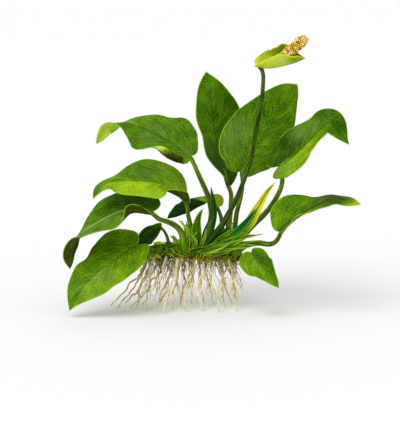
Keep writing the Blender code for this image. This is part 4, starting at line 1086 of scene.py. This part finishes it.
# Extra shoots: midrib, width, tone and finish
crownShoots = [
    ([(0, -4, 34), (14, -11, 39), (27, -15, 42)], 3.4, 0.2, "sheath"),
    ([(-2, -4, 34), (13, -10, 41), (30, -13, 45.5)], 3.8, 0.25, "sheath"),
    ([(-3, -5, 34), (8, -9, 44), (20, -11, 50)], 3.4, 0.35, "leafTop"),
    ([(2, -5, 33), (11, -11, 37), (20, -15, 40)], 3.8, 0.3, "sheath"),
    ([(5, -5, 33), (15, -12, 38), (25, -16, 39.5)], 3.4, 0.15, "leafTop"),
    ([(-2, -4, 34), (4, -9, 39), (14, -14, 43)], 3.8, 0.4, "emeraldLeaf"),
    ([(-15, -3, 34), (-14, -6, 42), (-12, -8, 48)], 2.8, 0.5, "sheath"),
    ([(-12, -3, 34), (-11, -6, 41), (-8, -8, 46)], 3.0, 0.4, "sheath"),
    ([(-18, -2, 34), (-20, -4, 40), (-22, -5, 44)], 3.0, 0.5, "sheath"),
    ([(-7, -4, 34), (-4, -7, 42), (-3, -9, 48)], 3.0, 0.5, "sheath"),
    ([(-10, -4, 34), (-9, -7, 40), (-12, -9, 45)], 2.6, 0.55, "sheath"),
    ([(-14, 1, 35), (-14, 1, 43), (-17, 1, 51)], 4.2, 0.55, "sheath"),
    ([(-13, 2, 35), (-13.5, 2, 44), (-14.5, 2, 50.5)], 4.0, 0.45, "sheath"),
    ([(-10, -4, 35), (-10.8, -4, 45), (-12.3, -5, 56)], 2.4, 0.8, "youngLeaf"),
    ([(-22, -2, 38), (-18, -3, 39.5), (-15, -3, 42)], 3.5, 0.95, "youngLeaf"),
    ([(-33, -1, 37.5), (-29, -2, 38.3), (-26, -2, 37.5)], 2.5, 0.9, "youngLeaf"),
    ([(-8, -6, 34), (2, -11, 39), (16, -14, 45)], 2.2, 0.1, "leafTop"),
    ([(-6, -7, 33), (4, -12, 38), (19, -15, 43)], 2.0, 0.3, "sheath"),
    ([(-5, -7, 35), (6, -12, 42), (22, -13, 48)], 2.2, 0.2, "darkLeafTop"),
    ([(-3, -8, 33), (8, -13, 36), (22, -15, 38)], 2.2, 0.35, "sheath"),
    ([(0, -8, 33), (9, -13, 38), (18, -14, 44)], 2.2, 0.25, "emeraldLeaf"),
    ([(-14, -5, 33), (-6, -10, 36), (4, -13, 38)], 2.8, 0.2, "darkLeafTop"),
    ([(-2, -9, 33), (4, -13, 36), (10, -15, 40)], 2.4, 0.65, "sheath"),
    ([(2, -9, 32), (8, -14, 35), (15, -16, 38)], 2.2, 0.1, "leafTop"),
    ([(-5, -9, 32), (1, -13, 35), (7, -15, 38)], 2.2, 0.7, "sheath"),
    ([(3, -7, 34), (12, -12, 41), (22, -14, 46)], 2.2, 0.15, "leafTop"),
    ([(5, -8, 34), (13, -13, 39), (21, -15, 44)], 2.0, 0.6, "sheath"),
    ([(-4, -1, 36), (2, -3, 43), (8, -4, 50)], 4.0, 0.25, "leafTop"),
    ([(0, 1, 36), (7, -1, 44), (13, -3, 51)], 4.5, 0.3, "sheath"),
    ([(-2, 0, 36), (1, -1, 43), (5, -2, 48)], 4.5, 0.4, "sheath"),
]


def makeSheaths():
    for number, sheath in sheaths.items():
        skin = finishes[sheath.get("finish", "sheath")]
        piece = makeBlade(f"crownSheath_{number}", {**sheathShape, **sheath}, [skin, skin], sheathBlade,
                          number * 0.8)
        hand(piece, "sheath", f"sheath_{number}")
    for number, (midrib, width, tone, finish) in enumerate(crownShoots, 1):
        # Each shoot's tone drops at its foot: painted shade where the shoots crowd at the crown
        shoot = dict(midrib=midrib, width=width, facing=[(0, 35)] * 3, riseLeft=[60, 40, 30],
                     riseRight=[60, 40, 30], toneLeft=[tone - 0.25, tone + 0.1, tone],
                     toneRight=[tone - 0.4, tone, tone])
        skin = finishes[finish]
        piece = makeBlade(f"crownShoot_{number:02d}", {**sheathShape, "heart": 0.5, "belly": 0.35, **shoot},
                          [skin, skin], shootBlade, number * 0.7)
        hand(piece, "sheath")


makeSheaths()
print("crown done")


# Flower: stalk, spathe and spadix

flowerStalkRoute = [(-6, -4, 35), (4.5, -5, 47), (11, -3, 58), (16, -1, 68), (22, -1, 85), (25, -1, 102),
                    (28, -1, 119), (29, 0, 131), (28.3, 0.6, 136), (26.6, 0.8, 138.6)]
flowerStalkShape = {"steps": 110, "sides": 16, "radius": 1.15, "footSwell": 1.2, "swellPower": 4,
                    "topSwell": 0.25, "topFrom": 0.97, "topOver": 0.03,
                    "wobble": 0.8, "wobbleSize": 14, "knots": 0.1, "knotSize": 6, "seed": 21.0}
spatheBlade = {**bladeShape, "rows": 90, "columns": 24, "thickness": 0.45, "keelHeight": 0.3,
               "grooveDepth": 0.15, "veinsPerSide": 5, "veinDepth": 0.08, "veinLean": 0.5, "veinCurve": 0.5}
spathe = dict(midrib=[(28, 1, 137.5), (34, 1, 137.5), (41, 1, 138.8), (47, 0, 140.5), (52.6, -1, 143)],
              facing=[(0, 75)] * 4, width=19, heart=0.75, belly=0.45, taper=2.2, lobe=4, skew=0.15,
              riseLeft=[60, 75, 80, 60, 40], riseRight=[60, 68, 72, 62, 50],
              edgeLeft=[1.15, 1.15, 1.1, 1.15, 1.25, 1.4, 1.45, 1.2, 0.8],
              edgeRight=[1, 1.15, 1.17, 1.15, 1.8],
              toneLeft=[0.6, 0.45, 0.4, 0.35, 0.5], toneRight=[0.8, 0.6, 0.6, 0.4, 0.3],
              rib=[-0.9, -0.9, -0.9, -0.6, 0], under=[0.85, 0.72, 0.66, 0.35, 0.05],
              sheenPatch=[(0.42, 0.5, 0.2, 0.35, 0.75), (0.45, -0.45, 0.25, 0.3, 0.5)])
# Fresh spathe: thin, soft and waxy, a pale yellow-green with a brighter rim
spatheLook = dict(colours=["#3c6406", "#6c900a", "#a0ba12", "#c8d636", "#e2e420"], toneFrom="tone",
                  sheenPatch="#c6d470", rim="#d0d80c", ribPale="#e0e8a0", ribDark="#4a5a10",
                  roughness=0.5, specular=0.2,
                  pattern={"strokeStrength": 1.3, "patchStrength": 0.4, "rimWidth": 1.5})
spadixRoute = [(31, 0.5, 138.9), (36, 0, 141.3), (42, -1, 145.7), (48, -1, 150.3), (53, -1, 154.6)]
spadixRadii = [0.7, 1.1, 1.7, 2.3, 2.8, 3.1, 3.3, 3.25, 1.7]
spadixShape = {"steps": 60, "florets": 400, "floretRadius": 0.56, "core": 0.72, "turn": 137.5,
               "sunk": 0.8, "coreSides": 20, "seed": 4}


def makeFloretTree():
    # Beads set round a path in a spiral, each a little different
    tree, given = startTree("floretsRoundSpike", {
        "Florets": ("Int", 300), "Floret Radius": ("Float", 0.0005), "Turn": ("Float", 2.4),
        "Seed": ("Int", 1), "Material": ("Material", None)})
    path = addNode(tree, "GeometryNodeMeshToCurve", {0: given["Geometry"]}).outputs[0]
    spots = addNode(tree, "GeometryNodeCurveToPoints", {"Curve": path, "Count": given["Florets"]})
    number = addNode(tree, "GeometryNodeInputIndex").outputs[0]
    angle = addNode(tree, "ShaderNodeMath", {0: number, 1: given["Turn"]}, operation="MULTIPLY").outputs[0]
    outward = addNode(tree, "ShaderNodeVectorRotate", {
        "Vector": spots.outputs["Normal"], "Axis": spots.outputs["Tangent"], "Angle": angle},
        rotation_type="AXIS_ANGLE").outputs[0]
    points = addNode(tree, "GeometryNodeStoreNamedAttribute", {
        "Geometry": spots.outputs["Points"], "Name": "outward", "Value": outward},
        data_type="FLOAT_VECTOR").outputs[0]
    radius = addNode(tree, "GeometryNodeInputNamedAttribute", {"Name": "stemRadius"},
                     data_type="FLOAT").outputs[0]
    away = addNode(tree, "GeometryNodeInputNamedAttribute", {"Name": "outward"},
                   data_type="FLOAT_VECTOR").outputs[0]
    shift = addNode(tree, "ShaderNodeVectorMath", {0: away, "Scale": radius}, operation="SCALE").outputs[0]
    points = addNode(tree, "GeometryNodeSetPosition", {"Geometry": points, "Offset": shift}).outputs[0]
    bead = addNode(tree, "GeometryNodeMeshUVSphere", {
        "Segments": 8, "Rings": 5, "Radius": given["Floret Radius"]}).outputs[0]
    rotation = addNode(tree, "FunctionNodeAlignRotationToVector", {"Vector": away}, axis="Z").outputs[0]
    size = addNode(tree, "FunctionNodeRandomValue", {
        0: (0.75, 0.75, 0.8), 1: (1.2, 1.2, 1.5), "Seed": given["Seed"]},
        data_type="FLOAT_VECTOR").outputs[0]
    many = addNode(tree, "GeometryNodeInstanceOnPoints", {
        "Points": points, "Instance": bead, "Rotation": rotation, "Scale": size}).outputs[0]
    return endScatter(tree, many, "floretShade", 9, given["Material"])


def makeSpadixFinish():
    # Fleshy spike packed with florets: waxy yellow beads, some cream, some ochre
    material, tree, shader = startMaterial("beadedSpadix", 0.5, 0.25)
    shade = addNode(tree, "ShaderNodeAttribute", attribute_name="floretShade").outputs["Fac"]
    place = addNode(tree, "ShaderNodeTexCoord").outputs["Object"]
    blotches = addNode(tree, "ShaderNodeTexNoise", {
        "Vector": place, "Scale": 1 / (3 * mm), "Detail": 2.0}).outputs["Fac"]
    mixed = addNode(tree, "ShaderNodeMath", {0: shade, 1: 0.6}, operation="MULTIPLY").outputs[0]
    mixed = addNode(tree, "ShaderNodeMath", {0: blotches, 1: 0.6, 2: mixed},
                    operation="MULTIPLY_ADD").outputs[0]
    colour = addNode(tree, "ShaderNodeValToRGB", {"Fac": mixed}, ramp=[
        (0.28, "#8a6a1e"), (0.94, "#fdf4d0"), (0.41, "#cc9e20"), (0.56, "#e8c030"),
        (0.74, "#f4dc6c")]).outputs[0]
    tree.links.new(colour, shader.inputs["Base Color"])
    return material


def makeFlower():
    f = flowerStalkShape
    path = smoothRoute(flowerStalkRoute, f["steps"])
    t = np.linspace(0, 1, len(path))
    radii = (f["radius"] + f["footSwell"] * (1 - t) ** f["swellPower"]
             + f["topSwell"] * np.clip((t - f["topFrom"]) / f["topOver"], 0, 1))
    stalk = makeStem("flowerStalk", [(path, radii, np.sin(math.pi * t))], finishes["darkStalk"],
                     sides=f["sides"], wobble=f["wobble"], wobbleSize=f["wobbleSize"], knots=f["knots"],
                     knotSize=f["knotSize"], seed=f["seed"])
    hand(stalk, "stalk", "flower_stalk")
    finishes["spathe"] = makeLeafFinish("softSpathe", spatheLook)
    finishes["spatheBack"] = makeLeafFinish("softSpatheBack", {**spatheLook, "toneFrom": "underTone"})
    hood = makeBlade("spatheHood", spathe, [finishes["spathe"], finishes["spatheBack"]], spatheBlade, 0.3)
    hand(hood, "spathe", "spathe")
    finishes["spadix"] = makeSpadixFinish()
    s = spadixShape
    spike = smoothRoute(spadixRoute, s["steps"])
    radii = smoothCurve(spadixRadii, np.linspace(0, 1, s["steps"] + 1))[:, 0]
    core = makeStem("spadixCore", [(spike, radii * s["core"], np.zeros(len(spike)))], finishes["spadix"],
                    sides=s["coreSides"])
    beads = bpy.data.meshes.new("spadixPath")
    beads.from_pydata((spike + plantShift) * mm, [(k, k + 1) for k in range(s["steps"])], [])
    addNumbers(beads, "stemRadius", (radii - s["floretRadius"] * s["sunk"]) * mm)
    florets = grow(newPiece("spadixFlorets", beads), makeFloretTree(), {
        "Florets": s["florets"], "Floret Radius": s["floretRadius"] * mm, "Turn": math.radians(s["turn"]),
        "Seed": s["seed"], "Material": finishes["spadix"]})
    hand(core, "spadix")
    hand(florets, "spadix", "spadix")


makeFlower()
print("flower done")


# Studio: a plain pale floor, soft light and the camera at the picture's angle

studio = {"aim": (-6.355, -2.8, 52.96), "distance": 925.0, "drop": 8.0, "lens": 135.0,
          "worldStrength": 0.7, "sunStrength": 1.5, "sunSpread": 45.0, "sunFrom": (-0.5, -0.75, 1.0),
          "floorReach": 40.0, "farthest": 200.0}


def makeStudio():
    floorMesh = bpy.data.meshes.new("studioFloor")
    reach = studio["floorReach"]
    floorMesh.from_pydata([(-reach, -reach, 0), (reach, -reach, 0), (reach, reach, 0), (-reach, reach, 0)],
                          [], [(0, 1, 2, 3)])
    floor = newPiece("studioFloor", floorMesh)
    # Pale matt card: takes a soft shadow and gives no shine
    matt, _, shader = startMaterial("paleFloor", 0.9, 0.1)
    shader.inputs["Base Color"].default_value = paint("#fafafa")
    floorMesh.materials.append(matt)
    world = bpy.data.worlds.new("studioWorld")
    world.use_nodes = True
    world.node_tree.nodes["Background"].inputs[0].default_value = (1, 1, 1, 1)
    world.node_tree.nodes["Background"].inputs[1].default_value = studio["worldStrength"]
    bpy.context.scene.world = world
    aim = Vector(studio["aim"]) * mm
    lamp = bpy.data.lights.new("softKey", "SUN")
    lamp.energy = studio["sunStrength"]
    lamp.angle = math.radians(studio["sunSpread"])
    holder = newPiece("softKey", lamp)
    holder.rotation_euler = (-Vector(studio["sunFrom"])).to_track_quat("-Z", "Y").to_euler()
    camera = bpy.data.cameras.new("photoCamera")
    camera.lens = studio["lens"]
    camera.clip_end = studio["farthest"]
    eye = newPiece("photoCamera", camera)
    drop = math.radians(studio["drop"])
    eye.location = aim - Vector((0, math.cos(drop), -math.sin(drop))) * studio["distance"] * mm
    eye.rotation_euler = (math.pi / 2 - drop, 0, 0)
    bpy.context.scene.camera = eye


makeStudio()
print("studio done")
